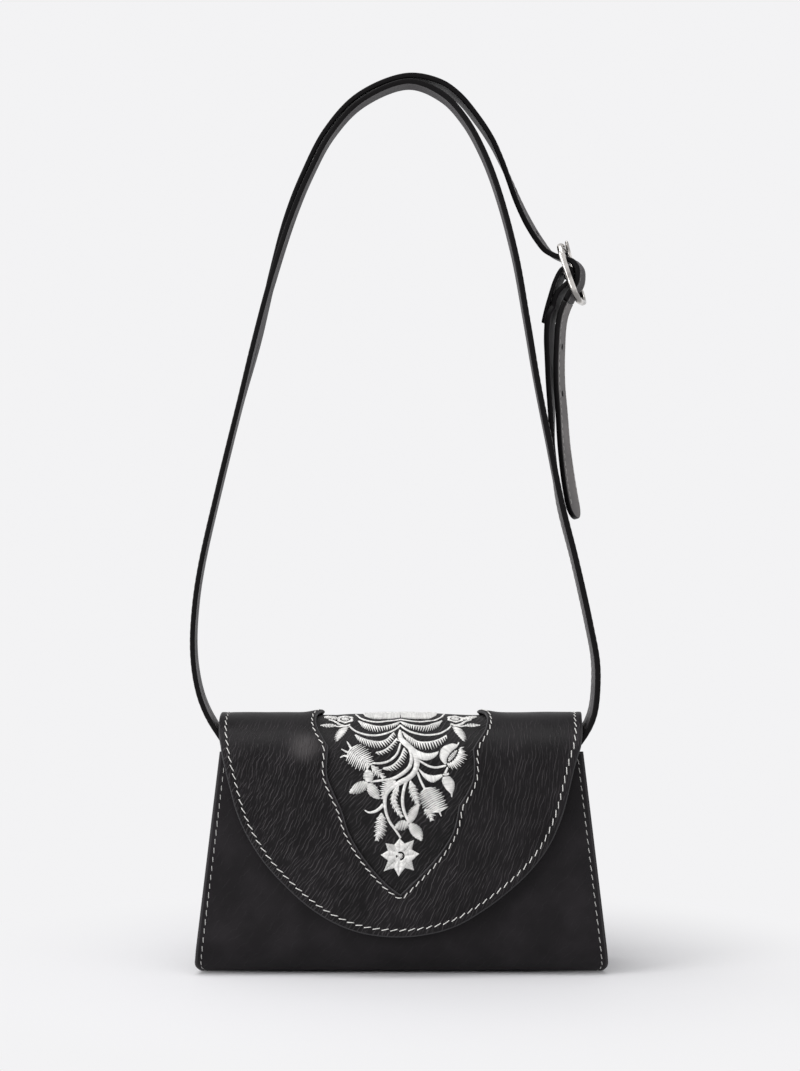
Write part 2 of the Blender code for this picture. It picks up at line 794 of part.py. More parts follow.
# Round the buckle's bar, each point is (angle in degrees, distance added to the least one).
REAR_ROUND_BAR = (
    (132, 11.0),
    (117, 6.9),
    (102, 2.6),
    (72, 1.5),
    (33, 0.5),
    (-8, 0.0),
    (-48, 1.5),
    (-78, 3.8),
    (-94, 9.1),
)
FOLD_RISE = (
    (-114, 18.7, 3.0),
    (-118, 9.7, 2.6),
    (-101, 3.4, 2.3),
    (-53, 0.8, 2.1),
    (2, 0.0, 2.1),
    (53, 0.5, 2.1),
    (93, 0.9, 2.1),
    (136, 1.3, 2.1),
    (-177, 2.4, 2.1),
    (-146, 6.0, 2.0),
    (-130, 11.6, 2.0),
    (-121, 20.0, 2.0),
    (-116.5, 27.4, 2.0),
)


class Station:
    """A place on a strap's route with the way on, the width's and the thickness's directions."""

    def __init__(self, place, turn, thickness):
        self.place = place
        self.turn = turn
        self.thickness = thickness
        self.along = None
        self.across = None
        self.out = None
        self.distance = 0.0


def to_exit(x, z):
    """Fit a route's point to the place where the strap leaves the bag."""
    return x * STRAP_EXIT_X / ROUTE_EXIT[0], z + STRAP_EXIT_HEIGHT - ROUTE_EXIT[1]


def point(x, y, z, turn=0.0, thickness=STRAP_THICKNESS):
    x, z = to_exit(x * MM, z * MM)
    return Vector((x, y, z)), math.radians(turn), thickness


def buckle_axes():
    """Place of the frame's middle, and the directions outward, across and up."""
    x, z = to_exit(BUCKLE_PLACE[0], BUCKLE_PLACE[2])
    place = Vector((x, BUCKLE_PLACE[1], z))
    side = Vector((math.cos(BUCKLE_TURN), -math.sin(BUCKLE_TURN), 0))
    across = Vector((math.sin(BUCKLE_TURN), math.cos(BUCKLE_TURN), 0))
    up = Vector((0, 0, 1))
    long_way = up * math.cos(BUCKLE_TILT) - side * math.sin(BUCKLE_TILT)
    out = side * math.cos(BUCKLE_TILT) + up * math.sin(BUCKLE_TILT)
    return place, side, across, long_way, out


def bar_middle():
    place, side, across, long_way, out = buckle_axes()
    return place - out * BAR_INSET


def round_bar(angle, distance, thickness=STRAP_THICKNESS):
    """A strap's point at an angle and a distance from the buckle's centre bar."""
    side = buckle_axes()[1]
    angle = math.radians(angle)
    place = bar_middle() + (side * math.cos(angle) + Vector((0, 0, math.sin(angle)))) * distance
    return place, BUCKLE_TURN, thickness


def smooth_stations(points):
    """Stations along a smooth curve through the points, closer together where it bends."""
    places = [p[0] for p in points]
    knots = [0.0]
    for a, b in zip(places, places[1:]):
        knots.append(knots[-1] + math.sqrt((b - a).length))
    slopes = []
    last = len(places) - 1
    for i in range(len(places)):
        before = max(0, i - 1)
        after = min(last, i + 1)
        if 0 < i < last:
            left = knots[i] - knots[i - 1]
            right = knots[i + 1] - knots[i]
            rise_left = (places[i] - places[i - 1]) / left
            rise_right = (places[i + 1] - places[i]) / right
            slopes.append((rise_left * right + rise_right * left) / (left + right))
        else:
            slopes.append((places[after] - places[before]) / (knots[after] - knots[before]))
    fine = []
    for i in range(last):
        span = knots[i + 1] - knots[i]
        count = max(ROUTE_LEAST_STEPS, round((places[i + 1] - places[i]).length / ROUTE_FINE))
        for k in range(count + (i == last - 1)):
            t = k / count
            rest = 1 - t
            place = (
                places[i] * (rest * rest * (1 + 2 * t))
                + places[i + 1] * (t * t * (3 - 2 * t))
                + slopes[i] * (span * t * rest * rest)
                - slopes[i + 1] * (span * t * t * rest)
            )
            turn = points[i][1] * rest + points[i + 1][1] * t
            thickness = points[i][2] * rest + points[i + 1][2] * t
            fine.append(Station(place, turn, thickness))
    for i, station in enumerate(fine):
        before = fine[max(0, i - 1)]
        after = fine[min(len(fine) - 1, i + 1)]
        station.along = (after.place - before.place).normalized()
        width = Vector((math.sin(station.turn), math.cos(station.turn), 0))
        station.out = width.cross(station.along).normalized()
        station.across = station.along.cross(station.out).normalized()
        if i:
            station.distance = fine[i - 1].distance + (station.place - fine[i - 1].place).length
    return fine


def thin_out(fine):
    """Drop the stations that a nearly straight run doesn't need."""
    kept = [fine[0]]
    for station in fine[1:-1]:
        bend = station.along.angle(kept[-1].along)
        if bend > ROUTE_TURN or station.distance - kept[-1].distance > ROUTE_STEP:
            kept.append(station)
    if fine[-1].distance - kept[-1].distance < ROUTE_FINE and len(kept) > 1:
        kept.pop()
    kept.append(fine[-1])
    return kept


def strap_section(station, half_width):
    half = station.thickness / 2
    edge = half - STRAP_CHAMFER
    flat = max(half_width - STRAP_CHAMFER, half_width / 2)
    corners = (
        (flat, half),
        (half_width, edge),
        (half_width, -edge),
        (flat, -half),
        (-flat, -half),
        (-half_width, -edge),
        (-half_width, edge),
        (-flat, half),
    )
    return [station.place + station.across * w + station.out * n for w, n in corners]


def mitre(section, along, plane_x):
    """Slide a section's corners along the strap onto a plane across X."""
    return [corner + along * ((plane_x - corner.x) / along.x) for corner in section]


def clear_of_mitre(kept, end):
    """Drop the stations that a mitred end section would reach past."""
    reach = end.thickness * abs(end.out.x / end.along.x)
    return [s for s in kept if s is end or abs(s.distance - end.distance) > reach]


def make_ribbon(name, stations, start_x=None, end_x=None, round_tip=False, origin=(0, 0, 0)):
    kept = thin_out(stations)
    if start_x is not None:
        kept = clear_of_mitre(kept, kept[0])
    if end_x is not None:
        kept = clear_of_mitre(kept, kept[-1])
    half = STRAP_WIDTH / 2
    sections = []
    if round_tip:
        end = kept[-1].distance
        kept = [s for s in kept if end - s.distance > half]
        tips = []
        for i in range(ARC_STEPS):
            angle = math.pi / 2 * i / ARC_STEPS
            tips.append((end - half + half * math.sin(angle), half * math.cos(angle)))
    for station in kept:
        sections.append(strap_section(station, half))
    if round_tip:
        for distance, width in tips:
            sections.append(strap_section(station_at(stations, distance), width))
    if start_x is not None:
        sections[0] = mitre(sections[0], kept[0].along, start_x)
    if end_x is not None:
        sections[-1] = mitre(sections[-1], kept[-1].along, end_x)
    shell = Shell()
    shell.loft(sections)
    return shell.finish(name, STRAP_LEATHER, origin)


def station_at(stations, distance):
    return min(stations, key=lambda s: abs(s.distance - distance))


def lifted(points):
    """The rear strand's run up the left side and over the front strand."""
    lift = STRAP_THICKNESS + STRAND_SPACE
    route = []
    for i, (x, z, share) in enumerate(points):
        before = points[max(0, i - 1)]
        after = points[min(len(points) - 1, i + 1)]
        along = Vector((after[0] - before[0], 0, after[1] - before[1])).normalized()
        out = Vector((-along.z, 0, along.x))
        rise = min(1.0, max(0.0, (z * MM - LIFT_START) / (LIFT_END - LIFT_START)))
        place, turn, thickness = point(x, LANE * share, z)
        route.append((place + out * (lift * rise), turn, thickness))
    return route


def end_route(side, lane_side):
    """The strap's end: in over the gusset's top and down its inner side."""
    y = lane_side * LANE
    down = BAG_THICKNESS + STRAP_THICKNESS / 2
    heights = (STRAP_END_BOTTOM, RIVET_HEIGHT, GUSSET_TOP - STRAP_END_BEND_DEPTH, GUSSET_TOP)
    route = []
    for z in heights:
        route.append((Vector((side * (gusset_face(z) - down), y, z)), 0.0, STRAP_THICKNESS))
    for x, z in END_RISE:
        place, turn, thickness = point(side * x, y, z)
        route.append((place, turn, thickness))
    return route


def make_straps(swing):
    near = STRAP_EXIT_X + GAP / 2
    swing_place = swing.location
    left = [point(x, -LANE * share, z) for x, z, share in FRONT_LEFT]
    start = point(-ROUTE_EXIT[0] / MM, -LANE, ROUTE_EXIT[1] / MM)
    end = point(ROUTE_EXIT[0] / MM, -LANE, ROUTE_EXIT[1] / MM)
    right = [point(x, -LANE * share, z) for x, z, share in FRONT_RIGHT + BOTH_RIGHT]
    front = make_ribbon(
        "strap_front", smooth_stations([start] + left + right + [end]), -near, near, origin=swing_place
    )

    rear_start = point(-ROUTE_EXIT[0] / MM, LANE, ROUTE_EXIT[1] / MM)
    rear = [rear_start] + lifted(FRONT_LEFT)
    rear += [point(x, y * MM, z, turn) for x, y, z, turn in REAR_RIGHT]
    least = BAR_RADIUS + GAP + STRAP_FOLD_THICKNESS + STRAND_SPACE + STRAP_THICKNESS / 2
    rear += [round_bar(angle, least + added * MM) for angle, added in REAR_ROUND_BAR]
    drop = [point(x, y * MM, z, turn) for x, y, z, turn in TAIL_DROP]
    whole = smooth_stations(rear + drop)
    cut_place = rear[-1][0]
    cut_station = min(whole, key=lambda s: (s.place - cut_place).length)
    upper = [s for s in whole if s.distance <= cut_station.distance]
    lower = [s for s in whole if s.distance >= cut_station.distance + GAP]
    strap_rear = make_ribbon("strap_rear", upper, -near, origin=swing_place)

    rise_end = point(ROUTE_EXIT[0] / MM, LANE, ROUTE_EXIT[1] / MM)
    rise = [rise_end] + [point(x, LANE * share, z) for x, z, share in BOTH_RIGHT[::-1]]
    rise += [point(x, y * MM, z, turn) for x, y, z, turn in LOWER_RISE]
    bar_seat = BAR_RADIUS + GAP + STRAP_FOLD_THICKNESS / 2
    rise += [round_bar(angle, bar_seat + added * MM, thick * MM) for angle, added, thick in FOLD_RISE]
    buckle_end = make_ribbon("strap_buckle_end", smooth_stations(rise), near, origin=swing_place)
    return front, strap_rear, buckle_end, whole, lower, cut_station


def make_strap_ends():
    near = STRAP_EXIT_X - GAP / 2
    ends = []
    for side, side_name in ((-1, "left"), (1, "right")):
        for lane_side, lane_name in ((-1, "front"), (1, "rear")):
            stations = smooth_stations(end_route(side, lane_side))
            name = f"strap_end_{lane_name}_{side_name}"
            ends.append(make_ribbon(name, stations, end_x=side * near))
    return ends


def punch(item, station, name):
    reach = STRAP_THICKNESS
    profile = [(0, -reach), (HOLE_RADIUS, -reach), (HOLE_RADIUS, reach), (0, reach)]
    cut(item, turned_cutter(name, profile, station.place, station.out))


# Buckle


def sweep(path, half_side, half_out, out, closed):
    """Rings of an oval section along a path that lies in the plane square to out."""
    rings = []
    count = len(path)
    for i, place in enumerate(path):
        before = path[(i - 1) % count] if closed or i else path[0]
        after = path[(i + 1) % count] if closed or i < count - 1 else path[-1]
        along = (after - before).normalized()
        side = along.cross(out).normalized()
        ring = []
        for k in range(TUBE_SIDES):
            angle = math.tau * k / TUBE_SIDES
            ring.append(place + side * (half_side * math.cos(angle)) + out * (half_out * math.sin(angle)))
        rings.append(ring)
    return rings


def make_buckle_frame(swing):
    place, side, across, long_way, out = buckle_axes()
    path = []
    for quarter in range(4):
        sign_a = 1 if quarter in (0, 3) else -1
        sign_w = 1 if quarter in (0, 1) else -1
        for i in range(ARC_STEPS // 2 + 2):
            angle = math.pi / 2 * (quarter + i / (ARC_STEPS // 2 + 1))
            a = sign_a * (FRAME_HALF_LENGTH - FRAME_CORNER) + FRAME_CORNER * math.cos(angle)
            w = sign_w * (FRAME_HALF_WIDTH - FRAME_CORNER) + FRAME_CORNER * math.sin(angle)
            path.append(place + long_way * a + across * w)
    shell = Shell()
    shell.loft(sweep(path, FRAME_HALF_FACE, FRAME_HALF_THICKNESS, out, True), closed_route=True)
    frame = shell.finish("buckle_frame", NICKEL, swing.location)
    half = FRAME_HALF_WIDTH
    profile = [(0, -half), (BAR_RADIUS, -half), (BAR_RADIUS, half), (0, half)]
    bar = turned_cutter("buckle_centre_bar", profile, bar_middle(), across)
    cut(frame, bar, "UNION")
    return frame


def prong_line():
    """Start, direction and end of the prong's shaft, which lies over the frame's far side."""
    place, side, across, long_way, out = buckle_axes()
    bar = bar_middle()
    rise = FRAME_HALF_THICKNESS + PRONG_RADIUS + PRONG_REST_GAP
    rest = place + long_way * FRAME_HALF_LENGTH + out * rise
    reach = rest - bar
    tilt = math.atan2(reach.dot(out), reach.dot(long_way)) - math.asin(PRONG_COIL_RADIUS / reach.length)
    way = long_way * math.cos(tilt) + out * math.sin(tilt)
    square = out * math.cos(tilt) - long_way * math.sin(tilt)
    start = bar + square * PRONG_COIL_RADIUS
    end = start + way * ((rest - start).length + PRONG_OVERHANG)
    return start, way, square, end


def make_prong(buckle_end, strap_rear):
    place, side, across, long_way, out = buckle_axes()
    bar = bar_middle()
    start, way, square, end = prong_line()
    path = []
    for i in range(COIL_STEPS + 1):
        angle = PRONG_COIL_TURN * (1 - i / COIL_STEPS)
        path.append(bar + (square * math.cos(angle) - way * math.sin(angle)) * PRONG_COIL_RADIUS)
    path += [start + (end - start) * t for t in PRONG_SHAFT_SHARES]
    rings = sweep(path, PRONG_RADIUS, PRONG_RADIUS, across, False)
    middle = path[-1]
    rings[-1] = [middle + (corner - middle) * PRONG_POINT_SHARE for corner in rings[-1]]
    shell = Shell()
    shell.loft(rings)
    prong = shell.finish("buckle_prong", NICKEL)
    slot_half = PRONG_RADIUS + PRONG_SLOT_CLEARANCE
    slot = Shell()
    reach = PRONG_COIL_RADIUS + PRONG_RADIUS + 2 * GAP
    box = []
    for a in (-reach, reach + PRONG_SLOT_EXTRA):
        for w, n in ((-1, -1), (1, -1), (1, 1), (-1, 1)):
            box.append(bar + long_way * a + across * (w * slot_half) + out * (n * reach))
    slot.loft([box[:4], box[4:]])
    cut(buckle_end, cutter(slot, "prong_slot_cut"))
    near = STRAP_THICKNESS
    far = (end - start).length - FRAME_HALF_FACE - PRONG_OVERHANG
    profile = [(0, near), (PRONG_HOLE_RADIUS, near), (PRONG_HOLE_RADIUS, far), (0, far)]
    cut(strap_rear, turned_cutter("prong_hole_cut", profile, start, way))
    return prong


# Rivets


def make_rivets(gussets, lining, ends):
    rivets = []
    stack = BAG_THICKNESS + STRAP_THICKNESS
    for side, side_name in ((-1, "left"), (1, "right")):
        for lane_side, lane_name in ((-1, "front"), (1, "rear")):
            place = Vector((side * gusset_face(RIVET_HEIGHT), lane_side * LANE, RIVET_HEIGHT))
            out = Vector((side * math.cos(SIDE_SLOPE), 0, math.sin(SIDE_SLOPE)))
            top = GAP + RIVET_CAP_HEIGHT
            foot = -stack - GAP
            profile = [
                (0, top),
                (RIVET_CROWN_RADIUS, top - RIVET_CROWN_DROP),
                (RIVET_CAP_RADIUS, top - RIVET_CAP_EDGE),
                (RIVET_CAP_RADIUS, GAP),
                (RIVET_STEM_RADIUS, GAP),
                (RIVET_STEM_RADIUS, foot),
                (RIVET_CAP_RADIUS, foot),
                (RIVET_CAP_RADIUS, foot - RIVET_CAP_EDGE),
                (RIVET_CROWN_RADIUS, foot - RIVET_CAP_HEIGHT + RIVET_CROWN_DROP),
                (0, foot - RIVET_CAP_HEIGHT),
            ]
            rivets.append(turned_piece(f"rivet_{lane_name}_{side_name}", NICKEL, profile, place, out))
            bore = RIVET_STEM_RADIUS + GAP
            reach = 2 * GAP
            hole_profile = [(0, reach), (bore, reach), (bore, foot - reach), (0, foot - reach)]
            hole = turned_cutter(f"rivet_cut_{lane_name}_{side_name}", hole_profile, place, out)
            cut(gussets[side_name], hole)
            cut(lining, hole)
            cut(ends[(lane_name, side_name)], hole)
    return rivets


def build():
    clear_scene()
    wrap = make_body_wrap()
    gussets = {"left": make_gusset("gusset_left", -1), "right": make_gusset("gusset_right", 1)}
    lining = make_lining()
    make_base_board()
    make_seam_tab()

    hinge_y = flap_run(1, HINGE_HEIGHT)[0] + HINGE_PROUD
    hinge = make_pivot("flap_hinge_axis", (0, hinge_y, HINGE_HEIGHT))
    outer, inset, stiffener, flap_lining = make_flap(hinge.location)
    socket, socket_washer, stud, stud_washer = make_snap(wrap, flap_lining, stiffener)
    hang(hinge, (outer, inset, stiffener, flap_lining, stud, stud_washer))

    swing = make_pivot("strap_swing_axis", (0, 0, STRAP_EXIT_HEIGHT))
    front, rear, buckle_end, whole, lower, cut_station = make_straps(swing)
    frame = make_buckle_frame(swing)
    prong = make_prong(buckle_end, rear)
    hang(swing, (front, rear, buckle_end, frame))

    prong_pivot = make_pivot("prong_axis", bar_middle())
    hang(prong_pivot, (prong,))

    tail_place = cut_station.place - cut_station.out * (STRAP_THICKNESS / 2)
    tail_pivot = make_pivot("tail_axis", tail_place)
    tail = make_ribbon("strap_tail", lower, round_tip=True)

    prong_start, prong_way, prong_square, prong_end = prong_line()
    near_buckle = [s for s in whole if abs(s.turn - BUCKLE_TURN) < SAME_CORNER]
    prong_hole = min(near_buckle, key=lambda s: (s.place - prong_start).cross(prong_way).length)
    for i in range(HOLES_ABOVE):
        distance = prong_hole.distance - (i + 1) * HOLE_PITCH
        punch(rear, station_at(whole, distance), f"upper_hole_cut_{i + 1}")
    for count in TAIL_HOLES:
        distance = prong_hole.distance + count * HOLE_PITCH
        punch(tail, station_at(whole, distance), f"tail_hole_cut_{count}")
    hang(tail_pivot, (tail,))

    ends = {}
    names = [(lane, side) for side in ("left", "right") for lane in ("front", "rear")]
    for key, item in zip(names, make_strap_ends()):
        ends[key] = item
    make_rivets(gussets, lining, ends)


build()
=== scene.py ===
import math
import random

import bpy
import numpy as np
from mathutils import Matrix, Vector, geometry, noise
from mathutils.bvhtree import BVHTree
from mathutils.kdtree import KDTree


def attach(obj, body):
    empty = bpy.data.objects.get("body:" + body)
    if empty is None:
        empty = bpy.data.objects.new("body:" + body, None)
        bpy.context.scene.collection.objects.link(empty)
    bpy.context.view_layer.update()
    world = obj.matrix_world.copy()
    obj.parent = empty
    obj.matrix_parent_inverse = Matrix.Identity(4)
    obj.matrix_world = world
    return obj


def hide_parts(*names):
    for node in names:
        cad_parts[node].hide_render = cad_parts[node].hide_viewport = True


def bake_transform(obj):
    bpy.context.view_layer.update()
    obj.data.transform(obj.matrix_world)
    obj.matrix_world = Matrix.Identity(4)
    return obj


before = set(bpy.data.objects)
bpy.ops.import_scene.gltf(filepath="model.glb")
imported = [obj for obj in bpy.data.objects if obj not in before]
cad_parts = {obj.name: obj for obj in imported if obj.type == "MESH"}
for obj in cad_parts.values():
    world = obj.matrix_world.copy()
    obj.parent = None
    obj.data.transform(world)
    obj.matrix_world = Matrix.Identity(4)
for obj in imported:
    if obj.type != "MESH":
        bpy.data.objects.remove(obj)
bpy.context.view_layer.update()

MM = 0.001

# Camera: the photograph's frame in pixels, its focal length and the place it was taken from
PHOTO_SIZE = (800, 1071)
PHOTO_MIDDLE = (400.0, 535.5)
FOCAL_PX = 2250.0
SENSOR = 24.0
CAMERA_PLACE = Vector((-0.0008, -1.230, 0.2355))

# Sizes that the solids have
GAP = 0.3 * MM
BODY_THICKNESS = 2.0 * MM
SHOULDER_HEIGHT = 111.5 * MM
SHOULDER_HALF_DEPTH = 22.4 * MM
PANEL_LEAN = 0.07
BASE_HALF_WIDTH = 110.6 * MM
SIDE_LEAN = 0.116
BASE_RADIUS = 18.0 * MM
FRONT_TOP = 119.5 * MM
BACK_TOP = 114.0 * MM
GUSSET_TOP = 106.0 * MM
GUSSET_SETBACK = 5.5 * MM
GUSSET_THICKNESS = 1.4 * MM
LINING_THICKNESS = 0.8 * MM
FLAP_CREST = 139.0 * MM
FLAP_TIP = 18.8 * MM
FLAP_THICKNESS = 3.4 * MM
OUTER_THICKNESS = 1.2 * MM
INSET_THICKNESS = 0.9 * MM
SNAP_SPACE = 3.2 * MM
SNAP_HEIGHT = 29.0 * MM
FLAP_BACK_GAP = 0.4 * MM
TAB_BOTTOM = 92.0 * MM
HINGE_HEIGHT = 108.0 * MM
STRAP_WIDTH = 18.0 * MM
STRAP_THICKNESS = 3.2 * MM
STRAND_SPACE = 0.7 * MM
TILT = math.atan(PANEL_LEAN)
LANE = STRAP_WIDTH / 2 + GAP


# Curves


def smooth(points, per_span=10, closed=False):
    """Points along a curve that passes through the given ones."""
    p = np.asarray(points, float)
    if closed:
        ring = np.vstack([p[-1:], p, p[:2]])
    else:
        ring = np.vstack([2 * p[:1] - p[1:2], p, 2 * p[-1:] - p[-2:-1]])
    found = []
    for i in range(1, len(ring) - 2):
        a, b, c, d = ring[i - 1 : i + 3]
        ta = 0.0
        tb = ta + math.sqrt(np.linalg.norm(b - a)) + 1e-9
        tc = tb + math.sqrt(np.linalg.norm(c - b)) + 1e-9
        td = tc + math.sqrt(np.linalg.norm(d - c)) + 1e-9
        for t in np.linspace(tb, tc, per_span, endpoint=False):
            ab = a * (tb - t) / (tb - ta) + b * (t - ta) / (tb - ta)
            bc = b * (tc - t) / (tc - tb) + c * (t - tb) / (tc - tb)
            cd = c * (td - t) / (td - tc) + d * (t - tc) / (td - tc)
            abc = ab * (tc - t) / (tc - ta) + bc * (t - ta) / (tc - ta)
            bcd = bc * (td - t) / (td - tb) + cd * (t - tb) / (td - tb)
            found.append(abc * (tc - t) / (tc - tb) + bcd * (t - tb) / (tc - tb))
    if not closed:
        found.append(p[-1])
    return np.array(found)


def even(points, step, closed=False):
    """Points at equal distances along a line of points."""
    p = np.asarray(points, float)
    if closed:
        p = np.vstack([p, p[:1]])
    run = np.r_[0, np.cumsum(np.linalg.norm(np.diff(p, axis=0), axis=1))]
    count = max(3, int(round(run[-1] / step)) + (0 if closed else 1))
    s = np.linspace(0, run[-1], count, endpoint=not closed)
    return np.stack([np.interp(s, run, p[:, k]) for k in range(p.shape[1])], axis=1)


def run_length(points):
    return np.r_[0, np.cumsum(np.linalg.norm(np.diff(points, axis=0), axis=1))]


def eased(t):
    t = np.clip(t, 0.0, 1.0)
    return t * t * (3 - 2 * t)


class Profile:
    """A line in the YZ plane, measured along it, with its outward direction."""

    def __init__(self, points, run=None):
        self.points = even(points, 0.4 * MM) if run is None else points
        self.run = run_length(self.points) if run is None else run
        tangent = np.gradient(self.points, axis=0)
        tangent /= np.linalg.norm(tangent, axis=1, keepdims=True)
        self.out = np.stack([tangent[:, 1], -tangent[:, 0]], axis=1)

    def at(self, s):
        s = np.asarray(s, float)
        y = np.interp(s, self.run, self.points[:, 0])
        z = np.interp(s, self.run, self.points[:, 1])
        ny = np.interp(s, self.run, self.out[:, 0])
        nz = np.interp(s, self.run, self.out[:, 1])
        return y, z, ny, nz

    def place(self, uv):
        y, z, ny, nz = self.at(uv[:, 1])
        spot = np.stack([uv[:, 0], y, z], axis=1)
        out = np.stack([np.zeros_like(y), ny, nz], axis=1)
        return spot, out


def body_half_depth(z):
    return SHOULDER_HALF_DEPTH + PANEL_LEAN * (SHOULDER_HEIGHT - z)


def body_half_width(z):
    return BASE_HALF_WIDTH - SIDE_LEAN * (z - 8 * MM)


def side_edge(z):
    fade = np.maximum(0.0, 1 - z / (6 * MM))
    return body_half_width(z) - 3.5 * MM * fade**2


def gusset_face(z):
    return body_half_width(z) - GUSSET_SETBACK


def body_line(inset, front_top, back_top):
    """The body's section from the front rim round the base to the back rim, moved in by inset."""
    foot = body_half_depth(BASE_RADIUS * (1 + math.sin(TILT))) - BASE_RADIUS * math.cos(TILT)
    radius = BASE_RADIUS - inset
    halves = []
    for side, top in ((-1, front_top), (1, back_top)):
        points = [(side * (body_half_depth(top) - inset / math.cos(TILT)), top)]
        for angle in np.linspace(TILT, -math.pi / 2, 28):
            y = foot + radius * math.cos(angle)
            points.append((side * y, BASE_RADIUS + radius * math.sin(angle)))
        halves.append(points)
    return halves[0] + halves[1][::-1]


def flap_line(depth=0.0):
    """The flap's section from its sewn end on the back over the crest to the tip in front."""
    steep = math.cos(TILT)
    front = SHOULDER_HALF_DEPTH + (SNAP_SPACE + FLAP_THICKNESS) / steep
    back = SHOULDER_HALF_DEPTH + (FLAP_BACK_GAP + FLAP_THICKNESS) / steep
    half = (front + back) / 2
    middle_z = (FLAP_CREST - steep * (half + PANEL_LEAN * SHOULDER_HEIGHT)) / (1 - steep * PANEL_LEAN)
    middle_y = (back - front) / 2
    radius = FLAP_CREST - middle_z
    points = []
    for z in (TAB_BOTTOM - 2 * MM, TAB_BOTTOM + 5 * MM):
        points.append((body_half_depth(z) + (FLAP_BACK_GAP + FLAP_THICKNESS) / steep, z))
    for angle in np.linspace(math.pi / 2 - TILT, TILT - math.pi / 2, 90):
        points.append((middle_y + radius * math.sin(angle), middle_z + radius * math.cos(angle)))
    for z in (FLAP_TIP + 5 * MM, FLAP_TIP - 6 * MM):
        points.append((-body_half_depth(z) - (SNAP_SPACE + FLAP_THICKNESS) / steep, z))
    line = Profile(points)
    if depth:
        return Profile(line.points - line.out * depth, line.run)
    return line


BODY = Profile(body_line(0, FRONT_TOP, BACK_TOP))
FLAP = flap_line()


def seen_run():
    """Photograph rows along the flap's front, from the crest that the camera sees to the tip."""
    y, z = FLAP.at(FLAP.run)[:2]
    rows = PHOTO_MIDDLE[1] - (z - CAMERA_PLACE.z) * FOCAL_PX / (y - CAMERA_PLACE.y)
    top = int(np.argmin(rows))
    return rows[top:], FLAP.run[top:]


SEEN_ROWS, SEEN_RUN = seen_run()


def on_flap(pixels):
    """Pixels of the photograph as (x, run) on the flap's surface."""
    p = np.asarray(pixels, float)
    run = np.interp(p[:, 1], SEEN_ROWS, SEEN_RUN)
    y = FLAP.at(run)[0]
    x = CAMERA_PLACE.x + (p[:, 0] - PHOTO_MIDDLE[0]) * (y - CAMERA_PLACE.y) / FOCAL_PX
    return np.stack([x, run], axis=1)


def back_run(z):
    back = FLAP.points[:, 0] > 0
    return np.interp(np.asarray(z, float), FLAP.points[back, 1], FLAP.run[back])


# Meshes


def add_mesh(name, points, faces, look, attributes=None, smooth_faces=True):
    mesh = bpy.data.meshes.new(name)
    mesh.from_pydata([tuple(map(float, p)) for p in points], [], [tuple(map(int, f)) for f in faces])
    mesh.validate()
    if smooth_faces:
        mesh.shade_smooth()
    for key, values in (attributes or {}).items():
        values = np.asarray(values, np.float32)
        kind = "FLOAT_VECTOR" if values.ndim == 2 else "FLOAT"
        made = mesh.attributes.new(key, kind, "POINT")
        made.data.foreach_set("vector" if values.ndim == 2 else "value", values.ravel())
    item = bpy.data.objects.new(name, mesh)
    bpy.context.scene.collection.objects.link(item)
    if look is not None:
        mesh.materials.append(look)
    return item


def inside(points, loops):
    hit = np.zeros(len(points), bool)
    for loop in loops:
        for (x0, y0), (x1, y1) in zip(loop, np.roll(loop, -1, axis=0)):
            if y0 == y1:
                continue
            spans = (points[:, 1] > min(y0, y1)) & (points[:, 1] <= max(y0, y1))
            x = x0 + (points[:, 1] - y0) * (x1 - x0) / (y1 - y0)
            hit ^= spans & (points[:, 0] < x)
    return hit


def distances(points, loops):
    dense = np.vstack([even(loop, 0.25 * MM, True) for loop in loops])
    tree = KDTree(len(dense))
    for i, (x, y) in enumerate(dense):
        tree.insert((x, y, 0), i)
    tree.balance()
    return np.array([tree.find((x, y, 0))[2] for x, y in points])


def turned_left(loop, outer):
    """The loop with the sheet on its left hand."""
    following = np.roll(loop, -1, axis=0)
    area = np.sum(loop[:, 0] * following[:, 1] - following[:, 0] * loop[:, 1])
    return loop if (area > 0) == outer else loop[::-1]


def inward(loop):
    step = np.roll(loop, -1, axis=0) - np.roll(loop, 1, axis=0)
    step /= np.linalg.norm(step, axis=1, keepdims=True)
    return np.stack([-step[:, 1], step[:, 0]], axis=1)


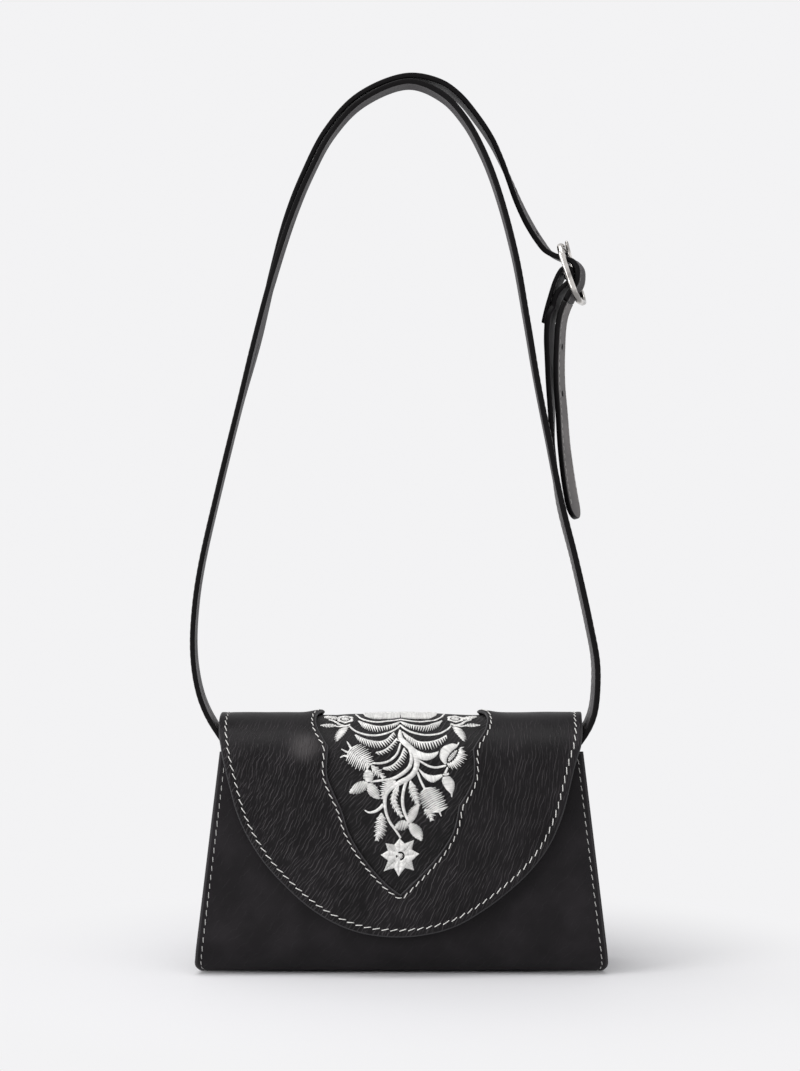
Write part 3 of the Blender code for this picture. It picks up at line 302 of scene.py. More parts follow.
def make_sheet(
    name,
    outline,
    holes,
    place,
    thickness,
    spacing,
    look,
    edge=0.5 * MM,
    rings=(),
    rise=None,
    arcs=3,
    field=None,
):
    """A sheet with rounded edges, laid on a surface, from loops in its own flat measure."""
    loops = [turned_left(np.asarray(outline, float), True)]
    loops += [turned_left(np.asarray(hole, float), False) for hole in holes]
    normals = [inward(loop) for loop in loops]
    coords, edges, starts = [], [], []
    for distance in (edge, *rings):
        for loop, normal in zip(loops, normals):
            first = len(coords)
            if distance == edge:
                starts.append(first)
            coords += list(loop + normal * distance)
            count = len(loop)
            edges += [(first + i, first + (i + 1) % count) for i in range(count)]
    last = max((edge, *rings))
    low = loops[0].min(0)
    high = loops[0].max(0)
    grid = []
    for row, v in enumerate(np.arange(low[1], high[1], spacing * 0.87)):
        for u in np.arange(low[0] + (row % 2) * spacing / 2, high[0], spacing):
            grid.append((u, v))
    grid = np.array(grid)
    grid = grid[inside(grid, loops)]
    grid = grid[distances(grid, loops) > last + 0.55 * spacing]
    coords += list(grid)
    made, _, faces, origins, _, _ = geometry.delaunay_2d_cdt(
        [Vector((float(x), float(y))) for x, y in coords], edges, [], 1, 1e-9
    )
    uv = np.array([(v.x, v.y) for v in made])
    index = {}
    for i, sources in enumerate(origins):
        for source in sources:
            index[source] = i
    faces = np.array([f for f in faces if len(f) == 3])
    rim = [loop + normal * edge * 0.5 for loop, normal in zip(loops, normals)]
    faces = faces[inside(uv[faces].mean(axis=1), rim)]
    away = distances(uv, loops)
    count = len(uv)

    def lift(flat, gap):
        spot, out = place(flat)
        if rise is not None:
            spot = spot + out * rise(flat, gap)[:, None]
        return spot, out

    def thick(flat, gap):
        return thickness(flat, gap) if callable(thickness) else np.full(len(flat), thickness)

    top, out = lift(uv, away)
    under = thick(uv, away)
    points = [top, top - out * under[:, None]]
    flats = [np.c_[uv, np.zeros(count)], np.c_[uv, under]]
    gaps = [away, away]
    all_faces = [faces[:, ::-1], faces + count]
    total = 2 * count
    steps = np.linspace(0, math.pi / 2, arcs + 1)[1:]
    for number, (loop, normal) in enumerate(zip(loops, normals)):
        size = len(loop)
        first = np.array([index[starts[number] + i] for i in range(size)])
        rows = [first]
        full = thick(loop, np.zeros(size))
        profile = [(edge * (1 - math.sin(a)), edge * (1 - math.cos(a)), 0) for a in steps]
        profile += [(edge * (1 - math.sin(a)), edge * (1 - math.cos(a)), 1) for a in steps[::-1]]
        for back, down, low_side in profile:
            flat = loop + normal * back
            spot, out_here = lift(flat, np.full(size, back))
            depth = full - down if low_side else np.full(size, down)
            points.append(spot - out_here * depth[:, None])
            flats.append(np.c_[flat, depth])
            gaps.append(np.full(size, back))
            rows.append(total + np.arange(size))
            total += size
        rows.append(first + count)
        for a, b in zip(rows, rows[1:]):
            quads = np.stack([a, np.roll(a, -1), np.roll(b, -1), b], axis=1)
            all_faces.append(quads)
    faces_out = [tuple(f) for block in all_faces for f in block]
    flats = np.vstack(flats)
    own = {"leather": flats, "edge": np.concatenate(gaps)}
    if field is not None:
        own["crease"] = field(flats[:, :2])
    return add_mesh(name, np.vstack(points), faces_out, look, own)


class CreaseField:
    """Measures along and across creases whose direction changes over a sheet."""

    COUNT = 24

    def __init__(self, low, high, turns):
        n = self.COUNT
        self.low = np.array(low)
        self.step = (np.array(high) - self.low) / (n - 1)
        u = self.low[0] + np.arange(n)[:, None] * self.step[0] + np.zeros((n, n))
        v = self.low[1] + np.arange(n)[None, :] * self.step[1] + np.zeros((n, n))
        weights, total = 0, 0
        for (at_u, at_v), angle in turns:
            near = 1 / ((u - at_u) ** 2 + (v - at_v) ** 2 + (8 * MM) ** 2) ** 1.5
            weights, total = weights + near, total + near * math.radians(angle)
        turn = total / weights
        along = np.stack([np.cos(turn), -np.sin(turn)])
        across = np.stack([np.sin(turn), np.cos(turn)])
        index = np.arange(n * n).reshape(n, n)
        pairs = [(index[1:], index[:-1], 0), (index[:, 1:], index[:, :-1], 1)]
        rows, wanted = [], []
        for after, before, axis in pairs:
            block = np.zeros((after.size, n * n))
            block[np.arange(after.size), after.ravel()] = 1 / self.step[axis]
            block[np.arange(after.size), before.ravel()] = -1 / self.step[axis]
            rows.append(block)
            means = [
                (f[axis].ravel()[after.ravel()] + f[axis].ravel()[before.ravel()]) / 2
                for f in (along, across)
            ]
            wanted.append(np.stack(means, axis=1))
        pin = np.zeros((1, n * n))
        pin[0, 0] = 1.0
        found = np.linalg.lstsq(
            np.vstack(rows + [pin]), np.vstack(wanted + [np.zeros((1, 2))]), rcond=None
        )[0]
        self.values = found.reshape(n, n, 2)

    def at(self, flat):
        spot = np.clip((flat - self.low) / self.step, 0, self.COUNT - 1.001)
        cell = spot.astype(int)
        share = spot - cell
        i, j = cell[:, 0], cell[:, 1]
        a, b = share[:, :1], share[:, 1:]
        v = self.values
        return (v[i, j] * (1 - a) + v[i + 1, j] * a) * (1 - b) + (
            v[i, j + 1] * (1 - a) + v[i + 1, j + 1] * a
        ) * b


def wavy(flat, size, height, seed, stretch=(1.0, 1.0), turn=0.0):
    """Soft uneven height over a sheet."""
    c, s = math.cos(turn), math.sin(turn)
    found = np.empty(len(flat))
    for i, (u, v) in enumerate(flat[:, :2]):
        a = (u * c + v * s) / (size * stretch[0])
        b = (-u * s + v * c) / (size * stretch[1])
        found[i] = noise.noise(Vector((a, b, seed)))
    return found * height


def tube(name, path, half_a, half_b, out, look, closed=False, sides=16, taper=None):
    """A rounded bar of oval section along a path that lies square to out."""
    path = np.asarray(path, float)
    count = len(path)
    points, faces = [], []
    for i in range(count):
        before = path[(i - 1) % count] if closed or i else path[0]
        after = path[(i + 1) % count] if closed or i < count - 1 else path[-1]
        along = Vector(after - before).normalized()
        side = along.cross(out).normalized()
        share = taper[i] if taper is not None else 1.0
        for k in range(sides):
            angle = 2 * math.pi * k / sides
            offset = side * (half_a * math.cos(angle) * share) + out * (half_b * math.sin(angle) * share)
            points.append(Vector(path[i]) + offset)
    for i in range(count if closed else count - 1):
        j = (i + 1) % count
        for k in range(sides):
            m = (k + 1) % sides
            faces.append((i * sides + k, i * sides + m, j * sides + m, j * sides + k))
    if not closed:
        faces.append(tuple(range(sides))[::-1])
        faces.append(tuple((count - 1) * sides + k for k in range(sides)))
    return add_mesh(name, points, faces, look)


def turned(name, profile, place, out, look):
    """A piece turned about an axis, from (radius, height) points."""
    sides = 48
    frame_to = Matrix.Translation(place) @ Vector(out).to_track_quat("Z", "Y").to_matrix().to_4x4()
    points, faces = [], []
    for radius, height in profile:
        for k in range(sides):
            angle = 2 * math.pi * k / sides
            points.append(frame_to @ Vector((radius * math.cos(angle), radius * math.sin(angle), height)))
    for i in range(len(profile) - 1):
        for k in range(sides):
            m = (k + 1) % sides
            faces.append((i * sides + k, i * sides + m, (i + 1) * sides + m, (i + 1) * sides + k))
    faces.append(tuple(range(sides))[::-1])
    last = (len(profile) - 1) * sides
    faces.append(tuple(last + k for k in range(sides)))
    return add_mesh(name, points, faces, look)


# Materials


def node(tree, kind, inputs=None, **settings):
    made = tree.nodes.new("ShaderNode" + kind)
    for key, value in settings.items():
        setattr(made, key, value)
    for key, value in (inputs or {}).items():
        socket = made.inputs[key]
        if isinstance(value, bpy.types.NodeSocket):
            tree.links.new(value, socket)
        else:
            socket.default_value = value
    return made


def calc(tree, operation, first, second=0.0, clamp=False):
    return node(tree, "Math", {0: first, 1: second}, operation=operation, use_clamp=clamp).outputs[0]


def ramp(tree, value, low, high, out_low=0.0, out_high=1.0):
    return node(
        tree,
        "MapRange",
        {"Value": value, "From Min": low, "From Max": high, "To Min": out_low, "To Max": out_high},
        interpolation_type="SMOOTHSTEP",
    ).outputs["Result"]


def blend_colour(tree, share, first, second):
    made = tree.nodes.new("ShaderNodeMix")
    made.data_type = "RGBA"
    for socket, value in (("Factor", share), ("A", first), ("B", second)):
        wanted = [s for s in made.inputs if s.name == socket and s.enabled][0]
        if isinstance(value, bpy.types.NodeSocket):
            tree.links.new(value, wanted)
        else:
            wanted.default_value = value
    return [s for s in made.outputs if s.enabled][0]


def new_material(name):
    made = bpy.data.materials.new(name)
    made.use_nodes = True
    tree = made.node_tree
    shader = tree.nodes["Principled BSDF"]
    return made, tree, shader


def sheet_coordinates(tree, turn, scale):
    """The sheet's own flat measure, turned and scaled so that a unit is one feature."""
    own = node(tree, "Attribute", attribute_name="leather")
    spun = node(tree, "Mapping", {"Vector": own.outputs["Vector"], "Rotation": (0, 0, turn)})
    return node(tree, "Mapping", {"Vector": spun.outputs[0], "Scale": scale}).outputs[0]


def crease_lines(tree, source, turn, spacing, wander, width, seed):
    """Fine lines that run side by side, wander and break off, as leather creases do."""
    own = node(tree, "Attribute", attribute_name=source).outputs["Vector"]
    flat = node(tree, "VectorMath", {0: own, 1: (1.0, 1.0, 0.0)}, operation="MULTIPLY").outputs[0]
    spun = node(tree, "Mapping", {"Vector": flat, "Rotation": (0, 0, turn)}).outputs[0]

    def cloud(along, across, offset):
        place = {
            "Vector": spun,
            "Scale": (1 / along, 1 / across, 1),
            "Location": (seed + offset, seed * 1.7, 0),
        }
        spot = node(tree, "Mapping", place).outputs[0]
        return node(tree, "TexNoise", {"Vector": spot, "Scale": 1.0, "Detail": 1.0}).outputs["Fac"]

    across = node(tree, "SeparateXYZ", {0: spun}).outputs["Y"]
    phase = calc(tree, "MULTIPLY", across, 1 / spacing)
    phase = calc(tree, "ADD", phase, calc(tree, "MULTIPLY", cloud(12 * MM, 11 * MM, 0.0), wander))
    phase = calc(tree, "ADD", phase, calc(tree, "MULTIPLY", cloud(3.6 * MM, 7.0 * MM, 5.0), 0.7))
    far = calc(tree, "ABSOLUTE", calc(tree, "SUBTRACT", calc(tree, "FRACT", phase), 0.5))
    parts = ramp(tree, cloud(8.0 * MM, spacing * 1.1, 9.0), 0.40, 0.56)
    return calc(tree, "MULTIPLY", ramp(tree, far, 0.0, width, 1.0, 0.0), parts)


PEBBLE_SIZE = 0.5 * MM
SWELL_SIZE = 14 * MM
PATCH_SIZE = 22 * MM
PATCH_LIGHTER = 1.7
GRAIN_DEPTH = 0.16 * MM


def leather(
    name,
    colour,
    rough,
    creases,
    source="leather",
    grain_height=0.3,
    edge=None,
    ridge_highlight=None,
    wave=0.0,
    level=0.12,
):
    """Dyed leather: pebbled grain, fold lines, patches of uneven dye and an edge band; the crease lines carry
    a painted highlight, the edge band is edge paint that on the body, flap and gusset is lightened as painted
    sheen, and a high crease mask adds a painted sheen patch.
    """
    made, tree, shader = new_material(name)
    pebbles = node(
        tree,
        "TexVoronoi",
        {"Vector": sheet_coordinates(tree, 0.3, (1 / PEBBLE_SIZE,) * 3), "Scale": 1.0, "Randomness": 1.0},
        feature="SMOOTH_F1",
    ).outputs["Distance"]
    height = calc(tree, "MULTIPLY", pebbles, grain_height)
    ridges = None
    mask = None
    if source == "crease":
        own = node(tree, "Attribute", attribute_name=source).outputs["Vector"]
        mask = node(tree, "SeparateXYZ", {0: own}).outputs["Z"]
    for turn, spacing, wander, width, weight, seed in creases:
        lines = crease_lines(tree, source, turn, spacing, wander, width, seed)
        if mask is not None:
            lines = calc(tree, "MULTIPLY", lines, mask)
        part = calc(tree, "MULTIPLY", lines, weight)
        height = calc(tree, "ADD", height, part)
        ridges = part if ridges is None else calc(tree, "ADD", ridges, part)
    if wave:
        broad = {"Vector": sheet_coordinates(tree, 0.0, (1 / SWELL_SIZE,) * 3), "Scale": 1.0, "Detail": 1.0}
        height = calc(
            tree, "ADD", height, calc(tree, "MULTIPLY", node(tree, "TexNoise", broad).outputs["Fac"], wave)
        )
    bump = node(tree, "Bump", {"Height": height, "Strength": 1.0, "Distance": GRAIN_DEPTH})
    patch_inputs = {
        "Vector": sheet_coordinates(tree, 0.7, (1 / PATCH_SIZE,) * 3),
        "Scale": 1.0,
        "Detail": 4.0,
    }
    patches = node(tree, "TexNoise", patch_inputs).outputs["Fac"]
    lighter = tuple(min(1.0, c * PATCH_LIGHTER) for c in colour) + (1.0,)
    shade = blend_colour(tree, ramp(tree, patches, 0.35, 0.7), (*colour, 1.0), lighter)
    # Painted highlight: the crease lines are coloured lighter, standing in for light caught on the crease
    # ridges
    if ridge_highlight is not None:
        share = calc(tree, "MULTIPLY", ridges, ramp(tree, patches, 0.30, 0.65, 0.35, 1.0), clamp=True)
        shade = blend_colour(tree, share, shade, (*ridge_highlight, 1.0))
    # Painted sheen: where the crease mask is high, the colour lightens towards the sheen patch colour
    if mask is not None:
        shade = blend_colour(tree, ramp(tree, mask, 1.05, 1.8), shade, (*SHEEN_PATCH_COLOUR, 1.0))
    shine = ramp(tree, patches, 0.3, 0.7, rough - 0.05, rough + 0.06)
    shine = calc(tree, "ADD", shine, ramp(tree, pebbles, 0.0, 0.9, -0.02, 0.06))
    gap = node(tree, "Attribute", attribute_name="edge").outputs["Fac"]
    # The edge band gets its own colour: edge paint, which on the body, flap and gusset is lightened as
    # painted sheen
    if edge is not None:
        width, edge_colour, edge_rough = edge
        share = ramp(tree, gap, width * 0.75, width * 1.1, 1.0, 0.0)
        shade = blend_colour(tree, share, shade, (*edge_colour, 1.0))
        rest = calc(tree, "MULTIPLY", shine, calc(tree, "SUBTRACT", 1.0, share))
        shine = calc(tree, "ADD", rest, calc(tree, "MULTIPLY", share, edge_rough))
    tree.links.new(shade, shader.inputs["Base Color"])
    tree.links.new(shine, shader.inputs["Roughness"])
    tree.links.new(bump.outputs[0], shader.inputs["Normal"])
    shader.inputs["Specular IOR Level"].default_value = level
    return made


def metal(name, colour, rough):
    """Plated metal with fine polishing marks and small dull spots."""
    made, tree, shader = new_material(name)
    spot = node(tree, "TexCoord").outputs["Object"]
    marks = node(tree, "TexNoise", {"Vector": spot, "Scale": 900.0, "Detail": 3.0}).outputs["Fac"]
    spots = node(tree, "TexNoise", {"Vector": spot, "Scale": 160.0, "Detail": 2.0}).outputs["Fac"]
    tree.links.new(ramp(tree, spots, 0.35, 0.7, rough * 0.8, rough * 1.5), shader.inputs["Roughness"])
    dim = tuple(c * 0.45 for c in colour)
    shade = blend_colour(tree, ramp(tree, spots, 0.38, 0.62), (*dim, 1.0), (*colour, 1.0))
    tree.links.new(shade, shader.inputs["Base Color"])
    bump = node(tree, "Bump", {"Height": marks, "Strength": 0.12, "Distance": 0.01 * MM})
    tree.links.new(bump.outputs[0], shader.inputs["Normal"])
    shader.inputs["Metallic"].default_value = 1.0
    return made


def thread_look(name, colour, rough=0.6, sheen=0.3, shaded=False):
    """Twisted thread: fine slanted ribs and uneven whiteness."""
    made, tree, shader = new_material(name)
    spot = node(tree, "TexCoord").outputs["Object"]
    fine = node(tree, "Mapping", {"Vector": spot, "Scale": (5200, 5200, 5200)}).outputs[0]
    ribs = node(tree, "TexNoise", {"Vector": fine, "Scale": 1.0, "Detail": 1.0}).outputs["Fac"]
    soft = node(tree, "TexNoise", {"Vector": spot, "Scale": 260.0, "Detail": 2.0}).outputs["Fac"]
    dim = tuple(c * 0.84 for c in colour)
    shade = blend_colour(tree, ramp(tree, soft, 0.35, 0.65), (*dim, 1.0), (*colour, 1.0))
    if shaded:
        # The shade attribute darkens each thread: random tone, and painted shade on the star's diagonal
        # petals
        own = node(tree, "Attribute", attribute_name="shade").outputs["Fac"]
        shade = blend_colour(tree, own, (0.0, 0.0, 0.0, 1.0), shade)
    tree.links.new(shade, shader.inputs["Base Color"])
    tree.links.new(ramp(tree, ribs, 0.3, 0.7, rough - 0.1, rough + 0.1), shader.inputs["Roughness"])
    bump = node(tree, "Bump", {"Height": ribs, "Strength": 0.5, "Distance": 0.06 * MM})
    tree.links.new(bump.outputs[0], shader.inputs["Normal"])
    shader.inputs["Sheen Weight"].default_value = sheen
    return made


def cloth_look(name, colour):
    """Plain-woven lining cloth."""
    made, tree, shader = new_material(name)
    spot = node(tree, "TexCoord").outputs["Object"]
    heights = []
    for turn in ((0, 0, 0), (0, math.pi / 2, 0)):
        turned_spot = node(tree, "Mapping", {"Vector": spot, "Rotation": turn}).outputs[0]
        wave = {"Vector": turned_spot, "Scale": 420.0, "Distortion": 1.5, "Detail Scale": 3.0}
        heights.append(node(tree, "TexWave", wave).outputs["Fac"])
    weave = calc(tree, "MULTIPLY", heights[0], heights[1])
    bump = node(tree, "Bump", {"Height": weave, "Strength": 0.6, "Distance": 0.08 * MM})
    lighter = tuple(c * 1.6 for c in colour)
    tree.links.new(blend_colour(tree, weave, (*colour, 1.0), (*lighter, 1.0)), shader.inputs["Base Color"])
    tree.links.new(bump.outputs[0], shader.inputs["Normal"])
    tree.links.new(ramp(tree, weave, 0.0, 1.0, 0.8, 0.95), shader.inputs["Roughness"])
    shader.inputs["Sheen Weight"].default_value = 0.2
    return made


def board_look(name, colour):
    """Grey fibre board with flecks."""
    made, tree, shader = new_material(name)
    spot = node(tree, "TexCoord").outputs["Object"]
    flecks = node(tree, "TexNoise", {"Vector": spot, "Scale": 700.0, "Detail": 4.0}).outputs["Fac"]
    lighter = tuple(min(1.0, c * 1.5) for c in colour)
    shade = blend_colour(tree, ramp(tree, flecks, 0.4, 0.62), (*colour, 1.0), (*lighter, 1.0))
    tree.links.new(shade, shader.inputs["Base Color"])
    tree.links.new(ramp(tree, flecks, 0.3, 0.7, 0.85, 0.95), shader.inputs["Roughness"])
    bump = node(tree, "Bump", {"Height": flecks, "Strength": 0.4, "Distance": 0.05 * MM})
    tree.links.new(bump.outputs[0], shader.inputs["Normal"])
    return made


# Edge paint lightened by painted sheen: the grey stands in for light on the rounded cut edges
EDGE_PAINT_AND_SHEEN = (0.040, 0.039, 0.041)
# Colour of the painted sheen patch by the window's upper left corner, used where the crease mask rises above
# 1.05
SHEEN_PATCH_COLOUR = (0.052, 0.048, 0.049)
LOOKS = {
    "body": leather(
        "body_leather_look",
        (0.0088, 0.0077, 0.0087),
        0.46,
        [(0.9, 4.5 * MM, 1.5, 0.05, 0.4, 3.1)],
        grain_height=0.22,
        # Edge band: edge paint, lightened as painted sheen on the rounded edge
        edge=(1.5 * MM, (0.030, 0.028, 0.030), 0.5),
        ridge_highlight=(0.024, 0.023, 0.025),
        wave=0.5,
    ),
    "flap": leather(
        "grained_leather_look",
        (0.0056, 0.0049, 0.0055),
        0.43,
        [(0.0, 1.9 * MM, 2.6, 0.17, 1.0, 1.3), (0.12, 1.3 * MM, 2.6, 0.17, 0.5, 7.7)],
        source="crease",
        edge=(0.7 * MM, EDGE_PAINT_AND_SHEEN, 0.4),
        ridge_highlight=(0.052, 0.047, 0.050),
        wave=1.0,
    ),
    "inset": leather(
        "inset_leather_look",
        (0.0056, 0.0052, 0.0056),
        0.44,
        [
            (math.radians(56), 2.1 * MM, 2.6, 0.18, 1.0, 4.9),
            (math.radians(44), 1.4 * MM, 2.6, 0.17, 0.5, 9.2),
        ],
        ridge_highlight=(0.048, 0.044, 0.047),
        wave=1.2,
    ),
    # The black strap gets a grey base colour and a low specular level: its sheen is painted into the colour;
    # the darker edge band is its edge paint
    "strap": leather(
        "strap_leather_look",
        (0.026, 0.0235, 0.0255),
        0.46,
        [(math.pi / 2, 6.0 * MM, 1.5, 0.04, 0.2, 2.2)],
        edge=(0.5 * MM, (0.0055, 0.0050, 0.0054), 0.34),
        level=0.07,
    ),
    "tail": leather(
        "tail_leather_look",
        (0.105, 0.098, 0.097),
        0.5,
        [(math.pi / 2, 6.0 * MM, 1.5, 0.04, 0.2, 2.2)],
        edge=(0.5 * MM, (0.0055, 0.0050, 0.0054), 0.34),
    ),
    "gusset": leather(
        "gusset_leather_look",
        (0.0065, 0.0060, 0.0066),
        0.46,
        [(1.2, 3.0 * MM, 1.5, 0.08, 0.4, 5.5)],
        edge=(0.8 * MM, EDGE_PAINT_AND_SHEEN, 0.42),
        wave=0.8,
    ),
    "nickel": metal("nickel_look", (0.60, 0.575, 0.55), 0.14),
    "thread": thread_look("seam_thread_look", (0.74, 0.73, 0.70)),
    "side_thread": thread_look("side_thread_look", (0.42, 0.415, 0.40)),
    "satin": thread_look("satin_thread_look", (0.93, 0.92, 0.90), 0.5, 0.3, True),
    "dim_thread": thread_look("strap_thread_look", (0.26, 0.25, 0.24)),
    "cloth": cloth_look("lining_cloth_look", (0.030, 0.028, 0.027)),
    "board": board_look("fibre_board_look", (0.19, 0.16, 0.12)),
}


# Camera, floor and light

camera_data = bpy.data.cameras.new("photo_camera")
camera_data.sensor_fit = "VERTICAL"
camera_data.sensor_height = SENSOR
camera_data.lens = SENSOR * FOCAL_PX / PHOTO_SIZE[1]
camera_data.clip_start = 0.05
camera_data.clip_end = 50.0
camera = bpy.data.objects.new("photo_camera", camera_data)
camera.location = CAMERA_PLACE
camera.rotation_euler = (math.pi / 2, 0, 0)
bpy.context.scene.collection.objects.link(camera)
bpy.context.scene.camera = camera
bpy.context.scene.view_settings.view_transform = "Standard"

BACKDROP = (0.896, 0.894, 0.905)
FLOOR_HALF = 6.0


def make_floor():
    """Pale floor: its shadowed part near the bag runs out into the backdrop's colour."""
    floor = add_mesh(
        "floor",
        [
            (-FLOOR_HALF, -FLOOR_HALF, 0), (FLOOR_HALF, -FLOOR_HALF, 0), (FLOOR_HALF, FLOOR_HALF, 0),
            (-FLOOR_HALF, FLOOR_HALF, 0),
        ],
        [(0, 1, 2, 3)],
        None,
    )
    made, tree, shader = new_material("floor_look")
    spot = node(tree, "TexCoord").outputs["Object"]
    radius = node(tree, "VectorMath", {0: spot}, operation="LENGTH").outputs["Value"]
    shader.inputs["Base Color"].default_value = (0.77, 0.767, 0.782, 1.0)
    shader.inputs["Roughness"].default_value = 0.75
    shader.inputs["Specular IOR Level"].default_value = 0.2
    glow = node(tree, "Emission", {"Color": (*BACKDROP, 1.0), "Strength": 1.0})
    mixed = node(tree, "MixShader", {0: ramp(tree, radius, 0.06, 0.28)})
    tree.links.new(shader.outputs[0], mixed.inputs[1])
    tree.links.new(glow.outputs[0], mixed.inputs[2])
    tree.links.new(mixed.outputs[0], tree.nodes["Material Output"].inputs["Surface"])
    floor.data.materials.append(made)


def make_world():
    world = bpy.data.worlds.new("studio")
    world.use_nodes = True
    tree = world.node_tree
    base = tree.nodes["Background"]
    base.inputs["Color"].default_value = (0.62, 0.62, 0.64, 1.0)
    base.inputs["Strength"].default_value = 0.45
    seen = node(tree, "Background", {"Color": (*BACKDROP, 1.0), "Strength": 1.0})
    path = node(tree, "LightPath")
    clear = calc(tree, "ADD", path.outputs["Is Camera Ray"], path.outputs["Is Glossy Ray"], True)
    clear = calc(tree, "ADD", clear, path.outputs["Is Transmission Ray"], True)
    mixed = node(tree, "MixShader", {0: clear})
    tree.links.new(base.outputs[0], mixed.inputs[1])
    tree.links.new(seen.outputs[0], mixed.inputs[2])
    tree.links.new(mixed.outputs[0], tree.nodes["World Output"].inputs["Surface"])
    bpy.context.scene.world = world


def area_light(name, place, target, size, energy):
    data = bpy.data.lights.new(name, "AREA")
    data.shape = "RECTANGLE"
    data.size, data.size_y = size
    data.energy = energy
    lamp = bpy.data.objects.new(name, data)
    lamp.location = place
    lamp.rotation_euler = (Vector(target) - Vector(place)).to_track_quat("-Z", "Y").to_euler()
    bpy.context.scene.collection.objects.link(lamp)


make_floor()
make_world()
area_light("overhead_softbox", (-0.25, -0.35, 1.45), (0, 0, 0.1), (1.3, 1.1), 16.5)
area_light("left_softbox", (-1.5, -1.0, 0.75), (0, 0, 0.12), (0.9, 1.1), 23.0)
area_light("right_fill", (1.5, -0.6, 0.6), (0, 0, 0.15), (0.7, 1.0), 1.8)

# Body


def body_outline():
    run = even(np.c_[np.zeros_like(BODY.run), BODY.run], 1.2 * MM)[:, 1]
    z = BODY.at(run)[1]
    half = side_edge(z)
    left = np.c_[-half, run]
    right = np.c_[half, run][::-1]
    across = np.linspace(-1, 1, 170)[1:-1]
    top_edge = np.c_[across[::-1] * half[0], np.full(len(across), run[0])]
    back_edge = np.c_[across * half[-1], np.full(len(across), run[-1])]
    return np.vstack([left, back_edge, right, top_edge])


PANEL_HALF = 0.112
SNAP_CALM = 0.022


def body_rise(flat, gap):
    """The panels swell softly between their seams."""
    y, z = BODY.at(flat[:, 1])[:2]
    panel = eased((z - 6 * MM) / (30 * MM)) * eased((FRONT_TOP - z) / (30 * MM))
    across = 1 - (flat[:, 0] / PANEL_HALF) ** 2
    swell = 0.7 * MM * panel * np.clip(across, 0, 1)
    snap = np.exp(-((flat[:, 0] / SNAP_CALM) ** 2) - ((z - SNAP_HEIGHT) / SNAP_CALM) ** 2) * (y < 0)
    soft = wavy(flat, 42 * MM, 0.35 * MM, 2.5) * panel * np.clip(gap / (6 * MM), 0, 1)
    return (swell + soft) * (1 - snap)


wrap = make_sheet(
    "body_wrap_leather",
    body_outline(),
    [],
    BODY.place,
    BODY_THICKNESS,
    2.6 * MM,
    LOOKS["body"],
    edge=0.8 * MM,
    rings=(1.8 * MM, 3.2 * MM),
    rise=body_rise,
)
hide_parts("body_wrap")
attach(wrap, "root")


def make_gusset(side, name):
    """A tray of leather: its plate closes the end and its flange turns out to the sewn edge."""
    inset = BODY_THICKNESS + GAP
    wall = even(body_line(inset, GUSSET_TOP, GUSSET_TOP), 1.6 * MM)
    half = len(wall) // 2
    step = np.gradient(wall, axis=0)
    step /= np.linalg.norm(step, axis=1, keepdims=True)
    inner = np.stack([-step[:, 1], step[:, 0]], axis=1)
    corner = 2.2 * MM
    count = len(wall)
    points = []

    def outside(z, back):
        return side * (side_edge(z) - 0.6 * MM - back)

    rings = []
    for k in range(5):
        y, z = wall[:, 0], wall[:, 1]
        x = outside(z, 0) * (1 - k / 4) + side * (gusset_face(z) + corner) * (k / 4)
        rings.append(np.stack([x, y, z], axis=1))
    for angle in np.linspace(0, math.pi / 2, 6)[1:]:
        moved = wall + inner * (corner * (1 - math.cos(angle)))
        x = side * (gusset_face(wall[:, 1]) + corner * (1 - math.sin(angle)))
        rings.append(np.stack([x, moved[:, 0], moved[:, 1]], axis=1))
    faces = []
    for ring in rings:
        points += list(ring)
    for k in range(len(rings) - 1):
        for i in range(count - 1):
            faces.append((k * count + i, k * count + i + 1, (k + 1) * count + i + 1, (k + 1) * count + i))
    last = (len(rings) - 1) * count
    columns = 24
    rows = []
    for i in range(half + 1):
        j = count - 1 - i
        row = [last + i]
        a, b = rings[-1][i], rings[-1][j]
        for k in range(1, columns):
            t = k / columns
            spot = a * (1 - t) + b * t
            height = spot[2]
            below = eased((80 * MM - height) / (40 * MM))
            fold = math.sin(math.pi * t) ** 2 * below * eased((height - 5 * MM) / (25 * MM))
            crease = wavy(np.array([[spot[1], spot[2]]]), 14 * MM, 0.35 * MM, 4.0 + side)[0]
            spot = spot + np.array([side * (0.9 * MM * fold + crease * math.sin(math.pi * t)), 0, 0])
            row.append(len(points))
            points.append(spot)
        row.append(last + j)
        rows.append(row)
        if j - i < 2:
            break
    for above, below in zip(rows, rows[1:]):
        for k in range(columns):
            quad = [above[k], above[k + 1], below[k + 1], below[k]]
            if len(set(quad)) > 2:
                faces.append(tuple(dict.fromkeys(quad)))
    flat = []
    for p in points:
        flat.append((p[1], p[2], p[0]))
    item = add_mesh(
        name,
        points,
        faces,
        LOOKS["gusset"],
        {"leather": np.array(flat), "edge": np.full(len(points), 5 * MM)},
    )
    thick = item.modifiers.new("thickness", "SOLIDIFY")
    thick.thickness = GUSSET_THICKNESS
    thick.offset = -1.0
    made = bpy.data.meshes.new_from_object(item.evaluated_get(bpy.context.evaluated_depsgraph_get()))
    item.modifiers.clear()
    item.data = made
    return item


for side, side_name in ((-1, "left"), (1, "right")):
    gusset = make_gusset(side, f"gusset_{side_name}_leather")
    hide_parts(f"gusset_{side_name}")
    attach(gusset, "root")

LINING_FLOOR = 4.1 * MM
LINING_RIM_BACK = 1.0 * MM


